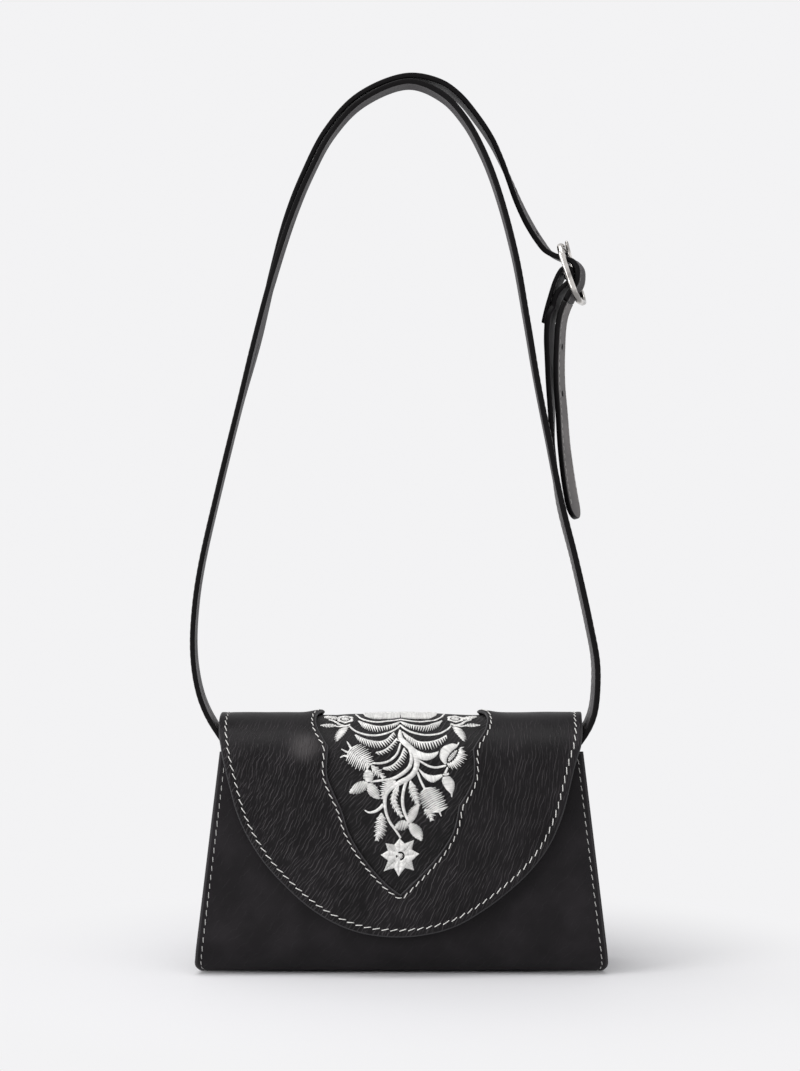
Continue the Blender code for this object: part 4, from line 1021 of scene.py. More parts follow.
def make_bag_lining():
    """The thin cloth bag that hangs inside, with softly creased walls."""
    depth = BODY_THICKNESS + GAP
    points, faces, flat = [], [], []
    layers = []
    for layer, added in enumerate((0.0, LINING_THICKNESS)):
        inset, floor = depth + added, LINING_FLOOR + added
        back = GUSSET_THICKNESS + GAP + added
        section = body_line(inset, FRONT_TOP - LINING_RIM_BACK, BACK_TOP - LINING_RIM_BACK)
        section = even(np.maximum(section, (-1.0, floor)), 2.0 * MM)
        columns = np.linspace(-1, 1, 60)
        inner = np.gradient(section, axis=0)
        inner /= np.linalg.norm(inner, axis=1, keepdims=True)
        grid = np.empty((len(section), len(columns)), int)
        for i, (y, z) in enumerate(section):
            half = gusset_face(z) - back
            soft = eased((z - 12 * MM) / (25 * MM)) * eased((FRONT_TOP - z) / (20 * MM))
            for j, t in enumerate(columns):
                uneven = 1 + noise.noise(Vector((t * 7, z * 45, 3 + (y > 0) * 5)))
                fold = 0.5 * MM * soft * uneven * (1 - t**4)
                grid[i, j] = len(points)
                points.append((half * t, y - inner[i, 1] * fold, z + inner[i, 0] * fold))
                flat.append((half * t, i * 2.0 * MM, 0))
        for i in range(len(section) - 1):
            for j in range(len(columns) - 1):
                quad = (grid[i, j], grid[i, j + 1], grid[i + 1, j + 1], grid[i + 1, j])
                faces.append(quad if layer else quad[::-1])
        rows = len(section)
        for column, turn in ((0, layer == 0), (-1, layer == 1)):
            for i in range(rows // 2 - 1):
                low, high = rows - 1 - i, rows - 2 - i
                quad = (grid[i, column], grid[i + 1, column], grid[high, column], grid[low, column])
                faces.append(quad if turn else quad[::-1])
        layers.append(grid)
    outer, within = layers
    for k in (0, -1):
        for j in range(outer.shape[1] - 1):
            quad = (outer[k, j], outer[k, j + 1], within[k, j + 1], within[k, j])
            faces.append(quad if k else quad[::-1])
    return add_mesh("bag_lining_cloth", points, faces, LOOKS["cloth"], {"leather": np.array(flat)})


bag_lining = make_bag_lining()
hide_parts("lining")
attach(bag_lining, "root")

# Flap

FLAP_LEFT_PX = (
    (377.6, 936.3), (353.9, 931.4), (330.2, 921.4), (306.4, 905.7), (284.6, 885.9), (264.8, 864.1),
    (249.0, 840.4), (237.1, 814.7), (229.2, 786.9), (223.8, 765.2), (221.6, 754.9), (220.4, 745.8),
    (219.1, 737.9), (218.6, 728.4), (219.2, 719.0),
)
FLAP_RIGHT_PX = (
    (435.1, 933.3), (459.0, 925.4), (482.8, 911.4), (506.6, 893.8), (530.0, 872.0), (548.2, 848.3),
    (562.0, 818.2), (575.5, 765.2), (578.6, 754.9), (581.0, 747.3), (582.2, 738.3), (582.8, 728.4),
    (582.0, 719.4),
)
FLAP_LOWEST_PX = (405.2, 937.4)
CREST_HALF = 98.2 * MM
TAB_HALF = 98.6 * MM
TAB_CORNER = 6.0 * MM


def flap_side(points, sign):
    found = [tuple(p) for p in on_flap(points)]
    crest_run = float(np.interp(0.0, -FLAP.points[:, 0], FLAP.run))
    found += [(sign * CREST_HALF, crest_run), (sign * TAB_HALF, float(back_run(118 * MM)))]
    return found


def flap_outline():
    left = flap_side(FLAP_LEFT_PX, -1)
    right = flap_side(FLAP_RIGHT_PX, 1)
    tip = tuple(on_flap([FLAP_LOWEST_PX])[0])
    upper = smooth(right[::-1] + [tip] + left, 16)
    foot = float(back_run(TAB_BOTTOM))
    corners = []
    for angle in np.linspace(0, math.pi / 2, 7):
        corners.append(
            (-TAB_HALF + TAB_CORNER * (1 - math.cos(angle)), foot + TAB_CORNER * (1 - math.sin(angle)))
        )
    base = corners + [(-x, run) for x, run in corners[::-1]]
    return even(np.vstack([upper, base]), 1.1 * MM, True)


WINDOW_LEFT_PX = (
    (
        (324.9, 709.8), (318.0, 714.0), (316.2, 719), (316.8, 724.4), (319.1, 730.5), (322.2, 736),
        (325.2, 741), (328.6, 746.6),
    ),
    ((328.6, 746.6), (327.5, 759), (327.2, 775), (332, 789), (340.6, 807.4)),
    (
        (340.6, 807.4), (343.3, 815), (348.2, 831), (356.9, 847.5), (366.6, 861.6), (376.4, 873.5),
        (389.4, 886.5), (400.4, 894.6),
    ),
)
WINDOW_RIGHT_PX = (
    (
        (477.0, 709.8), (484.2, 713.4), (486.7, 717.5), (486.6, 723), (484.7, 729.4), (480.8, 736),
        (476.8, 742), (472.6, 749.2),
    ),
    ((472.6, 749.2), (473.9, 763), (472.9, 778.8), (467, 792.6), (458.8, 805.2)),
    (
        (458.8, 805.2), (456.7, 818.2), (452.3, 833.4), (444.7, 846.4), (435, 859.4), (424, 871.3),
        (413.3, 882.2), (400.4, 894.6),
    ),
)
WINDOW_BACK_HALF = 42.0 * MM
WINDOW_BACK_END = 116.0 * MM


def window_side(pieces, sign):
    """From the crest down to the tip, sharp where two scallops meet."""
    found = []
    for part in pieces:
        curve = smooth(on_flap(part), 8)
        found += list(even(curve, 1.0 * MM)[:-1])
    start = found[0]
    back_end = float(back_run(WINDOW_BACK_END))
    behind = smooth(
        [
            (sign * (WINDOW_BACK_HALF - 3 * MM), back_end),
            (sign * WINDOW_BACK_HALF, back_end + 3 * MM),
            (sign * (WINDOW_BACK_HALF + 2 * MM), (start[1] + back_end) / 2),
            tuple(start),
        ],
        10,
    )
    return np.vstack([even(behind, 1.0 * MM)[:-1], found])


def window_outline():
    left = window_side(WINDOW_LEFT_PX, -1)
    right = window_side(WINDOW_RIGHT_PX, 1)
    tip = on_flap([WINDOW_LEFT_PX[2][-1]])
    return np.vstack([left, tip, right[::-1]])


FLAP_LOOP = flap_outline()
WINDOW_LOOP = window_outline()
LIP = 0.9 * MM
FLAP_SEAM_IN = 3.8 * MM


def flap_waves(flat, gap):
    """Slow unevenness of the flap, the same for all of its layers."""
    free = np.clip((flat[:, 1] - float(back_run(112 * MM))) / (20 * MM), 0, 1)
    return (wavy(flat, 34 * MM, 0.30 * MM, 5.3) + wavy(flat, 13 * MM, 0.10 * MM, 8.3)) * free


def flap_rise(flat, gap):
    """The outer leather: the slow waves, a lip along the window and a dip along the stitches."""
    window_gap = distances(flat[:, :2], [WINDOW_LOOP])
    over = np.exp(-(((flat[:, 1] - SEEN_RUN[0]) / (8 * MM)) ** 2))
    lip = 0.30 * MM * (1 - over) * np.exp(-((window_gap / (1.6 * MM)) ** 2))
    seam = -0.22 * MM * np.exp(-(((window_gap - 2.6 * MM) / (0.9 * MM)) ** 2))
    broad = np.exp(-((window_gap / (6.5 * MM)) ** 2))
    crest = over * (broad - 0.6 * np.exp(-((window_gap / (1.1 * MM)) ** 2)))
    edge_gap = distances(flat[:, :2], [FLAP_LOOP])
    groove = -0.20 * MM * np.exp(-(((edge_gap - FLAP_SEAM_IN) / (0.8 * MM)) ** 2))
    roll = 0.12 * MM * np.exp(-(((edge_gap - 1.6 * MM) / (1.4 * MM)) ** 2))
    return flap_waves(flat, gap) + lip + seam + 1.9 * MM * crest + groove + roll


def flap_thick(flat, gap):
    """Thicker on the sewn tab and along the edge, where the layers are glued and painted as one."""
    edge_gap = distances(flat[:, :2], [FLAP_LOOP])
    tab = flat[:, 1] < float(back_run(HINGE_HEIGHT - 3 * MM))
    thick = np.where(edge_gap < LIP + 0.02 * MM, FLAP_THICKNESS - 0.1 * MM, OUTER_THICKNESS)
    return np.where(tab, FLAP_THICKNESS, thick)


def flap_piece(item, slot_name, *nodes):
    if nodes:
        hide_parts(*nodes)
    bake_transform(item)
    return item


# Where the creases' direction was read from the photograph, and its angle in degrees
CREASE_SPOTS_PX = (
    ((235, 740), 62), ((245, 790), 62), ((300, 870), 50), ((345, 915), 47), ((290, 750), 84),
    ((310, 800), 66), ((400, 925), 60), ((470, 900), 65), ((540, 840), 68), ((575, 770), 78),
    ((575, 735), 97), ((520, 740), 97), ((500, 790), 85),
)
FLAP_CREASES = CreaseField(
    FLAP_LOOP.min(0),
    FLAP_LOOP.max(0),
    [(on_flap([spot_px])[0], angle) for spot_px, angle in CREASE_SPOTS_PX],
)
SMOOTH_ROW_PX, CREASED_ROW_PX = 719, 729
# Centre of the painted sheen patch by the window's upper left corner
SHEEN_PATCH_PX = (304, 747)


def flap_creases(flat):
    """Creases all over but on the crest, weaker at the right and behind, strong by the window's corner; the
    mask also scales the painted ridge highlights, and its peak there sets a painted sheen patch.
    """
    low, high = np.interp([SMOOTH_ROW_PX, CREASED_ROW_PX], SEEN_ROWS, SEEN_RUN)
    mask = 0.15 + 0.85 * eased((flat[:, 1] - low) / (high - low))
    mask = mask * np.where(flat[:, 0] > 30 * MM, 0.75, 1.0)
    mask = np.where(flat[:, 1] < SEEN_RUN[0] - 8 * MM, 0.5, mask)
    # Painted sheen patch: the mask rises above 1 round this spot, and the leather look lightens the colour
    # there
    away = np.linalg.norm(flat - on_flap([SHEEN_PATCH_PX])[0], axis=1)
    mask = mask + 0.8 * np.exp(-((away / (8 * MM)) ** 2))
    return np.c_[FLAP_CREASES.at(flat), mask]


flap_outer = make_sheet(
    "flap_outer_leather",
    FLAP_LOOP,
    [WINDOW_LOOP],
    FLAP.place,
    flap_thick,
    2.0 * MM,
    LOOKS["flap"],
    edge=0.45 * MM,
    rings=(LIP, LIP + 0.2 * MM, 2.2 * MM, FLAP_SEAM_IN),
    rise=flap_rise,
    field=flap_creases,
)
flap_piece(flap_outer, "grained_leather", "flap_outer", "flap_seam_tab")

INSET_MARGIN = 4.0 * MM


def grown(loop, distance, step):
    """The loop moved outward and evened out."""
    left = turned_left(loop, True)
    moved = left - inward(left) * distance
    return even(smooth(even(moved, 6 * MM, True), 6, True), step, True)


def inset_rise(flat, gap):
    """Soft slanting wrinkles, flatter under the window's edge."""
    window_gap = distances(flat[:, :2], [WINDOW_LOOP])
    inside_window = inside(flat[:, :2], [WINDOW_LOOP])
    free = np.where(inside_window, np.clip(window_gap / (4 * MM), 0, 1), 0.0)
    folds = wavy(flat, 5.0 * MM, 0.42 * MM, 12.3, (2.6, 1.0), math.radians(38))
    fine = wavy(flat, 2.4 * MM, 0.16 * MM, 21.3, (2.8, 1.0), math.radians(30))
    crown = np.exp(-(((flat[:, 1] - SEEN_RUN[0]) / (10 * MM)) ** 2) - (flat[:, 0] / (27 * MM)) ** 2)
    return flap_waves(flat, gap) + (folds + fine) * free + 1.2 * MM * crown


INSET_LINE = flap_line(OUTER_THICKNESS + GAP)
INSET_LOOP = grown(WINDOW_LOOP, INSET_MARGIN, 1.2 * MM)
inset = make_sheet(
    "flap_inset_leather",
    INSET_LOOP,
    [],
    INSET_LINE.place,
    INSET_THICKNESS,
    1.3 * MM,
    LOOKS["inset"],
    edge=0.3 * MM,
    rise=inset_rise,
    arcs=2,
)
flap_piece(inset, "inset_leather", "flap_inset")

FLAP_LINING_DEPTH = 2.7 * MM
LINING_LINE = flap_line(FLAP_LINING_DEPTH)


def shrunk(loop, distance, step):
    left = turned_left(loop, True)
    return even(left + inward(left) * distance, step, True)


stiffener = make_sheet(
    "flap_stiffener_board",
    shrunk(FLAP_LOOP, LIP + 0.5 * MM, 1.6 * MM),
    [grown(WINDOW_LOOP, INSET_MARGIN + 0.6 * MM, 1.6 * MM)],
    INSET_LINE.place,
    0.9 * MM,
    4.0 * MM,
    LOOKS["board"],
    edge=0.2 * MM,
    rise=flap_waves,
    arcs=1,
)
flap_piece(stiffener, "board", "flap_stiffener")

flap_lining = make_sheet(
    "flap_lining_cloth",
    shrunk(FLAP_LOOP, LIP + 0.35 * MM, 1.6 * MM),
    [],
    LINING_LINE.place,
    0.7 * MM,
    3.2 * MM,
    LOOKS["cloth"],
    edge=0.2 * MM,
    rise=flap_waves,
    arcs=1,
)
flap_piece(flap_lining, "lining_cloth", "flap_lining")

# Straps

# Routes in millimetres: x, height and the share of the lane's distance from the middle plane
FRONT_LEFT = (
    (-99.1, 127.6, 1.0), (-103.6, 134.6, 1.0), (-106.9, 141.0, 1.0), (-110.0, 149.5, 1.0),
    (-112.7, 163.0, 1.0), (-113.6, 178.0, 1.0), (-112.3, 199.0, 1.0), (-108.9, 221.0, 1.0),
    (-98.8, 265.0, 1.0), (-87.9, 309.0, 1.0), (-79.1, 342.5, 1.0), (-69.4, 375.5, 1.0),
    (-59.0, 409.0, 0.75), (-50.0, 431.5, 0.54), (-38.0, 454.2, 0.32), (-21.5, 471.8, 0.20),
    (4.0, 482.0, 0.16),
)
FRONT_RIGHT = (
    (22.3, 475.0, 0.22), (34.5, 461.8, 0.34), (44.8, 442.8, 0.52), (53.1, 420.3, 0.67),
    (61.9, 386.6, 0.84), (67.9, 353.2, 0.97), (73.6, 320.0, 1.0), (80.1, 287.0, 1.0),
)
BOTH_RIGHT = (
    (86.7, 254.0, 1.0), (94.9, 221.0, 1.0), (102.3, 187.7, 1.0), (105.9, 168.0, 1.0),
    (106.2, 154.0, 1.0), (104.9, 141.0, 1.0), (102.5, 133.5, 1.0), (99.1, 127.4, 1.0),
)
# The ends inside the bag: x and height on the way up to the exit, and heights along the gusset
END_RISE = ((88.8, 109.6), (90.2, 113.0), (91.9, 116.3), (93.8, 119.5), (96.0, 123.0))
END_HEIGHTS = (78.0, 86.0, 94.0, 106.0)
END_DOWN = 4.4
LIFT_START = 352.0
LIFT_END = 385.0
# Free routes: x, y and height in millimetres, and the turn about the vertical in degrees
REAR_RIGHT = (
    (20.5, 2.0, 482.8, 0), (31.4, 2.5, 475.6, 0), (41.8, 3.0, 463.2, 0), (49.4, 4.3, 452.0, 1),
    (54.9, 5.6, 441.0, 4), (59.6, 7.1, 430.0, 8), (64.3, 8.8, 419.0, 12), (69.9, 10.5, 408.0, 15),
    (76.1, 11.7, 398.2, 16),
)
TAIL_DROP = (
    (89.2, 9.9, 357.3, 15), (87.9, 10.3, 350.1, 15.5), (87.3, 10.4, 340.0, 16),
    (87.0, 10.6, 330.0, 16.5), (87.2, 10.6, 318.5, 17), (88.3, 10.6, 304.3, 18),
    (89.7, 10.6, 285.0, 19.5), (90.9, 10.6, 274.5, 21), (92.5, 10.6, 263.0, 22),
    (94.7, 10.6, 251.4, 22), (96.7, 10.6, 244.6, 22),
)
LOWER_RISE = (
    (83.1, 9.3, 285.0, 4), (82.5, 9.3, 304.0, 8), (81.8, 9.3, 320.0, 11), (81.4, 9.3, 334.0, 12.5),
    (81.2, 9.4, 342.0, 13.5), (81.4, 9.5, 348.5, 14), (82.2, 9.7, 354.8, 15),
)
# Round the buckle's bar: angle in degrees and added distance in millimetres
REAR_ROUND_BAR = (
    (132.5, 11.7), (124, 6.2), (113, 3.9), (102, 2.6), (72, 1.5), (33, 0.5), (-8, 0.0), (-48, 1.5),
    (-78, 3.8), (-94, 9.1),
)
# The folded end round the bar: angle, added distance and thickness
FOLD_RISE = (
    (-114, 18.7, 3.0), (-118, 9.7, 2.6), (-101, 3.4, 2.3), (-53, 0.8, 2.1), (2, 0.0, 2.1),
    (53, 0.5, 2.1), (93, 0.9, 2.1), (136, 1.3, 2.1), (-177, 2.4, 2.1), (-146, 6.0, 2.0),
    (-130, 11.6, 2.0), (-121, 20.0, 2.0), (-116.5, 27.4, 2.0),
)
BUCKLE_PLACE = Vector((93.73, 8.7, 379.2)) * MM
BUCKLE_TURN = 15.0
BUCKLE_TILT = math.radians(18.9)
FRAME_HALF_LENGTH = 16.2 * MM
FRAME_HALF_WIDTH = 11.8 * MM
FRAME_CORNER = 7.0 * MM
FRAME_HALF_FACE = 1.4 * MM
FRAME_HALF_THICKNESS = 1.6 * MM
BAR_RADIUS = 1.2 * MM
BAR_INSET = 1.05 * MM
FOLD_THICKNESS = 2.1 * MM
PRONG_RADIUS = 1.0 * MM
PRONG_COIL_RADIUS = 2.45 * MM
PRONG_OVERHANG = 2.4 * MM
PRONG_REST_GAP = 0.25 * MM
HOLE_RADIUS = 1.5 * MM
HOLE_PITCH = 26.0 * MM

SIDE_WAY = Vector((math.cos(math.radians(BUCKLE_TURN)), -math.sin(math.radians(BUCKLE_TURN)), 0))
ACROSS_WAY = Vector((math.sin(math.radians(BUCKLE_TURN)), math.cos(math.radians(BUCKLE_TURN)), 0))
LONG_WAY = Vector((0, 0, 1)) * math.cos(BUCKLE_TILT) - SIDE_WAY * math.sin(BUCKLE_TILT)
OUT_WAY = SIDE_WAY * math.cos(BUCKLE_TILT) + Vector((0, 0, 1)) * math.sin(BUCKLE_TILT)
BAR_MIDDLE = BUCKLE_PLACE - OUT_WAY * BAR_INSET
LANE_MM = LANE / MM
FULL = 2.9
LEFT_THICK, RIGHT_THICK = 2.7, 3.1
LEFT_TURN, RIGHT_TURN = -2.8, 1.4
TWIST, TWIST_HEIGHT, TWIST_REACH = 3.2, 375.0, 38.0
LANE_TURN_HIGH, LANE_TURN_LOW = 400.0, 300.0


def spot(x, y, z, turn=0.0, thick=FULL):
    """A route point in millimetres and degrees."""
    return (x, y, z, turn, thick)


def round_bar(angle, distance, thick=FULL):
    turn = math.radians(angle)
    place = BAR_MIDDLE / MM + (SIDE_WAY * math.cos(turn) + Vector((0, 0, math.sin(turn)))) * distance
    return spot(*place, BUCKLE_TURN, thick)


def laned(x, lane, z):
    """A point of a strand's lane; low down both lanes turn their inner faces from the camera."""
    low_down = float(eased((LANE_TURN_HIGH - z) / (LANE_TURN_HIGH - LANE_TURN_LOW)))
    turn = (LEFT_TURN if x < 0 else RIGHT_TURN) * low_down
    if x < 0:
        turn += TWIST * math.exp(-(((z - TWIST_HEIGHT) / TWIST_REACH) ** 2))
    thick = LEFT_THICK + (RIGHT_THICK - LEFT_THICK) * float(eased((x + 40) / 80))
    return spot(x + lane * math.tan(math.radians(turn)), lane, z, turn, thick)


def lifted(points):
    """The rear strand's run up the left side and over the front strand."""
    lift = (STRAP_THICKNESS + STRAND_SPACE) / MM
    route = []
    for i, (x, z, share) in enumerate(points):
        before = points[max(0, i - 1)]
        after = points[min(len(points) - 1, i + 1)]
        along = Vector((after[0] - before[0], after[1] - before[1])).normalized()
        rise = lift * min(1.0, max(0.0, (z - LIFT_START) / (LIFT_END - LIFT_START)))
        route.append(laned(x - along.y * rise, LANE_MM * share, z + along.x * rise))
    return route


def inner_end(side, lane_side):
    """From inside the bag up over the gusset's top to the exit."""
    route = []
    for z in END_HEIGHTS:
        route.append(laned(side * (gusset_face(z * MM) / MM - END_DOWN), lane_side * LANE_MM, z))
    return route + [laned(side * x, lane_side * LANE_MM, z) for x, z in END_RISE]


class Belt:
    """A strap's middle surface: its flat measure is (run, across), stretched where it bends tightly."""

    def __init__(self, points):
        p = np.array(points, float)
        p[:, :3] *= MM
        p[:, 4] *= MM
        places = p[:, :3]
        knots = np.r_[0, np.cumsum(np.sqrt(np.linalg.norm(np.diff(places, axis=0), axis=1)))]
        step = np.diff(knots)
        rise = np.diff(places, axis=0) / step[:, None]
        slopes = np.empty_like(places)
        slopes[0], slopes[-1] = rise[0], rise[-1]
        summed = rise[:-1] * step[1:, None] + rise[1:] * step[:-1, None]
        slopes[1:-1] = summed / (step[1:] + step[:-1])[:, None]
        rows = []
        for i in range(len(places) - 1):
            count = max(12, int(np.linalg.norm(places[i + 1] - places[i]) / (0.5 * MM)))
            for t in np.arange(count + (i == len(places) - 2)) / count:
                rest = 1 - t
                place = (
                    places[i] * (rest * rest * (1 + 2 * t))
                    + places[i + 1] * (t * t * (3 - 2 * t))
                    + slopes[i] * (step[i] * t * rest * rest)
                    - slopes[i + 1] * (step[i] * t * t * rest)
                )
                rows.append([*place, *(p[i, 3:] * rest + p[i + 1, 3:] * t)])
        rows = np.array(rows)
        self.place_at = rows[:, :3]
        self.thick_at = rows[:, 4]
        turn = np.radians(rows[:, 3])
        self.turn_at = rows[:, 3]
        along = np.gradient(self.place_at, axis=0)
        along /= np.linalg.norm(along, axis=1, keepdims=True)
        width = np.stack([np.sin(turn), np.cos(turn), np.zeros_like(turn)], axis=1)
        out = np.cross(width, along)
        out /= np.linalg.norm(out, axis=1, keepdims=True)
        self.out_at = out
        self.across_at = np.cross(along, out)
        self.along_at = along
        self.distance = run_length(self.place_at)
        turned_by = np.linalg.norm(np.gradient(along, axis=0), axis=1)
        bend = turned_by / np.maximum(np.gradient(self.distance), 1e-9)
        bend = np.convolve(np.pad(bend, 4, mode="edge"), np.ones(9) / 9, mode="valid")
        density = 1 + 11.0 * MM * np.maximum(0.0, bend - 25.0)
        self.run = np.r_[0, np.cumsum((density[1:] + density[:-1]) / 2 * np.diff(self.distance))]

    def pick(self, run, values):
        if values.ndim == 1:
            return np.interp(run, self.run, values)
        return np.stack([np.interp(run, self.run, values[:, k]) for k in range(values.shape[1])], axis=1)

    def place(self, flat):
        run = flat[:, 0]
        out = self.pick(run, self.out_at)
        half = self.pick(run, self.thick_at)[:, None] / 2
        spot_at = self.pick(run, self.place_at) + self.pick(run, self.across_at) * flat[:, 1:2] + out * half
        return spot_at, out

    def place_under(self, flat):
        """The same measure on the strap's inner face."""
        spot_at, out = self.place(flat)
        return spot_at - out * self.pick(flat[:, 0], self.thick_at)[:, None], -out

    def thickness(self, flat, gap):
        return self.pick(flat[:, 0], self.thick_at)

    def run_near(self, place):
        return self.run[int(np.argmin(np.linalg.norm(self.place_at - np.array(place), axis=1)))]


def belt_rise(flat, gap):
    """A shallow groove under each row of stitches and an uneven, handled surface."""
    groove = -0.16 * MM * np.exp(-(((gap - 2.3 * MM) / (0.6 * MM)) ** 2))
    crown = 0.12 * MM * np.exp(-(((gap - 1.0 * MM) / (0.8 * MM)) ** 2))
    return groove + crown + wavy(flat, 16 * MM, 0.10 * MM, 6.6) * np.clip(gap / (2 * MM), 0, 1)


def belt_outline(start, end, round_tip=False):
    half = STRAP_WIDTH / 2
    if not round_tip:
        corners = [(start, -half), (end, -half), (end, half), (start, half)]
        return even(np.array(corners), 1.5 * MM, True)
    angles = np.linspace(-math.pi / 2, math.pi / 2, 40)
    tip = [(end - half + half * math.cos(a), half * math.sin(a)) for a in angles]
    return even(np.array([(start, -half)] + tip + [(start, half)]), 1.0 * MM, True)


def hole_loop(run, radius=HOLE_RADIUS, count=20):
    angles = np.linspace(0, 2 * math.pi, count, endpoint=False)
    return np.array([(run + radius * math.cos(a), radius * math.sin(a)) for a in angles])


def make_belt(name, belt, start, end, holes=(), round_tip=False, look="strap"):
    return make_sheet(
        name,
        belt_outline(start, end, round_tip),
        holes,
        belt.place,
        belt.thickness,
        2.4 * MM,
        LOOKS[look],
        edge=0.6 * MM,
        rings=(1.6 * MM,),
        rise=belt_rise,
        arcs=3,
    )


front_belt = Belt(
    inner_end(-1, -1)
    + [laned(x, -LANE_MM * share, z) for x, z, share in FRONT_LEFT + FRONT_RIGHT + BOTH_RIGHT]
    + inner_end(1, -1)[::-1]
)
least = (BAR_RADIUS + GAP + FOLD_THICKNESS + STRAND_SPACE + STRAP_THICKNESS / 2) / MM
rear_belt = Belt(
    inner_end(-1, 1)
    + lifted(FRONT_LEFT)
    + [spot(*row) for row in REAR_RIGHT]
    + [round_bar(angle, least + added) for angle, added in REAR_ROUND_BAR]
    + [spot(*row) for row in TAIL_DROP]
)
bar_seat = (BAR_RADIUS + GAP + FOLD_THICKNESS / 2) / MM
buckle_belt = Belt(
    inner_end(1, 1)
    + [laned(x, LANE_MM * share, z) for x, z, share in BOTH_RIGHT[::-1]]
    + [spot(*row) for row in LOWER_RISE]
    + [round_bar(angle, bar_seat + added, thick) for angle, added, thick in FOLD_RISE]
)
TAIL_CUT = rear_belt.run_near(
    Vector(round_bar(REAR_ROUND_BAR[-1][0], least + REAR_ROUND_BAR[-1][1])[:3]) * MM
)


def run_at_distance(belt, distance):
    return float(np.interp(distance, belt.distance, belt.run))


def prong_line():
    """Start, direction and end of the prong's shaft, which lies over the frame's far side."""
    rest = BUCKLE_PLACE + LONG_WAY * FRAME_HALF_LENGTH + OUT_WAY * (
        FRAME_HALF_THICKNESS + PRONG_RADIUS + PRONG_REST_GAP
    )
    reach = rest - BAR_MIDDLE
    tilt = math.atan2(reach.dot(OUT_WAY), reach.dot(LONG_WAY)) - math.asin(PRONG_COIL_RADIUS / reach.length)
    way = LONG_WAY * math.cos(tilt) + OUT_WAY * math.sin(tilt)
    square = OUT_WAY * math.cos(tilt) - LONG_WAY * math.sin(tilt)
    start = BAR_MIDDLE + square * PRONG_COIL_RADIUS
    return start, way, square, start + way * ((rest - start).length + PRONG_OVERHANG)


PRONG_START, PRONG_WAY, PRONG_SQUARE, PRONG_END = prong_line()


def prong_hole_run():
    """Where the prong's shaft passes through the rear strand."""
    away = rear_belt.place_at - np.array(PRONG_START)
    way = np.array(PRONG_WAY)
    apart = np.linalg.norm(away - (away @ way)[:, None] * way, axis=1)
    apart[np.abs(rear_belt.turn_at - BUCKLE_TURN) > 0.001] = 1.0
    return int(np.argmin(apart))


PRONG_HOLE = 1.8 * MM
SLOT_REACH = 14 * MM
hole_index = prong_hole_run()
hole_distance = rear_belt.distance[hole_index]
rear_holes = [hole_loop(rear_belt.run[hole_index], PRONG_HOLE, 24)]
rear_holes += [hole_loop(run_at_distance(rear_belt, hole_distance - HOLE_PITCH * k)) for k in (1, 2)]
tail_holes = [hole_loop(run_at_distance(rear_belt, hole_distance + HOLE_PITCH * k)) for k in (2, 3)]
slot_run = buckle_belt.run_near(BAR_MIDDLE + OUT_WAY * bar_seat * MM)
round_angles = np.linspace(0, 2 * math.pi, 28, endpoint=False)
prong_slot = np.array([(slot_run + SLOT_REACH * math.cos(a), PRONG_HOLE * math.sin(a)) for a in round_angles])

strand_front = make_belt("strap_front_leather", front_belt, front_belt.run[0], front_belt.run[-1])
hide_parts("strap_front", "strap_end_front_left", "strap_end_front_right")
strand_rear = make_belt("strap_rear_leather", rear_belt, rear_belt.run[0], TAIL_CUT, rear_holes)
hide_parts("strap_rear", "strap_end_rear_left")
strand_buckle = make_belt(
    "strap_buckle_end_leather", buckle_belt, buckle_belt.run[0], buckle_belt.run[-1], [prong_slot]
)
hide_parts("strap_buckle_end", "strap_end_rear_right")
tail = make_belt("strap_tail_leather", rear_belt, TAIL_CUT, rear_belt.run[-1], tail_holes, True, "tail")
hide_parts("strap_tail")


# Stitches

WINDOW_SEAM_OUT = 2.25 * MM
SIDE_SEAM_IN = 3.4 * MM
BELT_SEAM_IN = 2.3 * MM
BELT_PITCH = 4.2 * MM
BELT_SHARE = 0.66


def stitch_row(line, place, rise, pitch, share, width, height, slant=0.0, closed=False, jitter=0.0, seed=1):
    """Dashes of thread that rise from one hole and go down in the next, along a flat line."""
    rng = random.Random(seed)
    run_line = np.vstack([line, line[:1]]) if closed else np.asarray(line, float)
    run = run_length(run_line)
    count = max(1, int(round(run[-1] / pitch)))
    step = run[-1] / count
    stations = np.linspace(-0.5, 0.5, 7)
    flats, rises, sides = [], [], []
    for i in range(count):
        centre = (i + 0.5) * step
        length = step * share * (1 + rng.uniform(-jitter, jitter))
        s = centre + stations * length
        flat = np.stack([np.interp(s, run, run_line[:, k]) for k in range(2)], axis=1)
        way = flat[-1] - flat[0]
        way /= np.linalg.norm(way)
        side = np.array([-way[1], way[0]])
        flat = flat + side * (stations * length * math.tan(slant))[:, None]
        flats.append(flat)
        sides.append(np.tile(side, (len(stations), 1)))
        rises.append(height * (1 - (2 * np.abs(stations)) ** 3) - 0.12 * MM * (2 * np.abs(stations)) ** 8)
    flats = np.vstack(flats)
    sides = np.vstack(sides)
    rises = np.concatenate(rises)
    spot_at, out = place(flats)
    if rise is not None:
        spot_at = spot_at + out * rise(flats)[:, None]
    nudge, _ = place(flats + sides * 0.05 * MM)
    base, _ = place(flats)
    side_at = nudge - base
    side_at /= np.linalg.norm(side_at, axis=1, keepdims=True)
    around = 6
    points, faces = [], []
    rows = len(stations)
    for k in range(around):
        angle = 2 * math.pi * k / around
        radius = width / 2
        points.append(
            spot_at
            + side_at * (radius * math.cos(angle))
            + out * (rises + radius * 0.8 * math.sin(angle))[:, None]
        )
    points = np.stack(points, axis=1).reshape(-1, 3)
    for i in range(count):
        for j in range(rows - 1):
            a = (i * rows + j) * around
            for k in range(around):
                m = (k + 1) % around
                faces.append((a + k, a + m, a + around + m, a + around + k))
        first = i * rows * around
        last = (i * rows + rows - 1) * around
        faces.append(tuple(first + k for k in range(around))[::-1])
        faces.append(tuple(last + k for k in range(around)))
    return points, faces


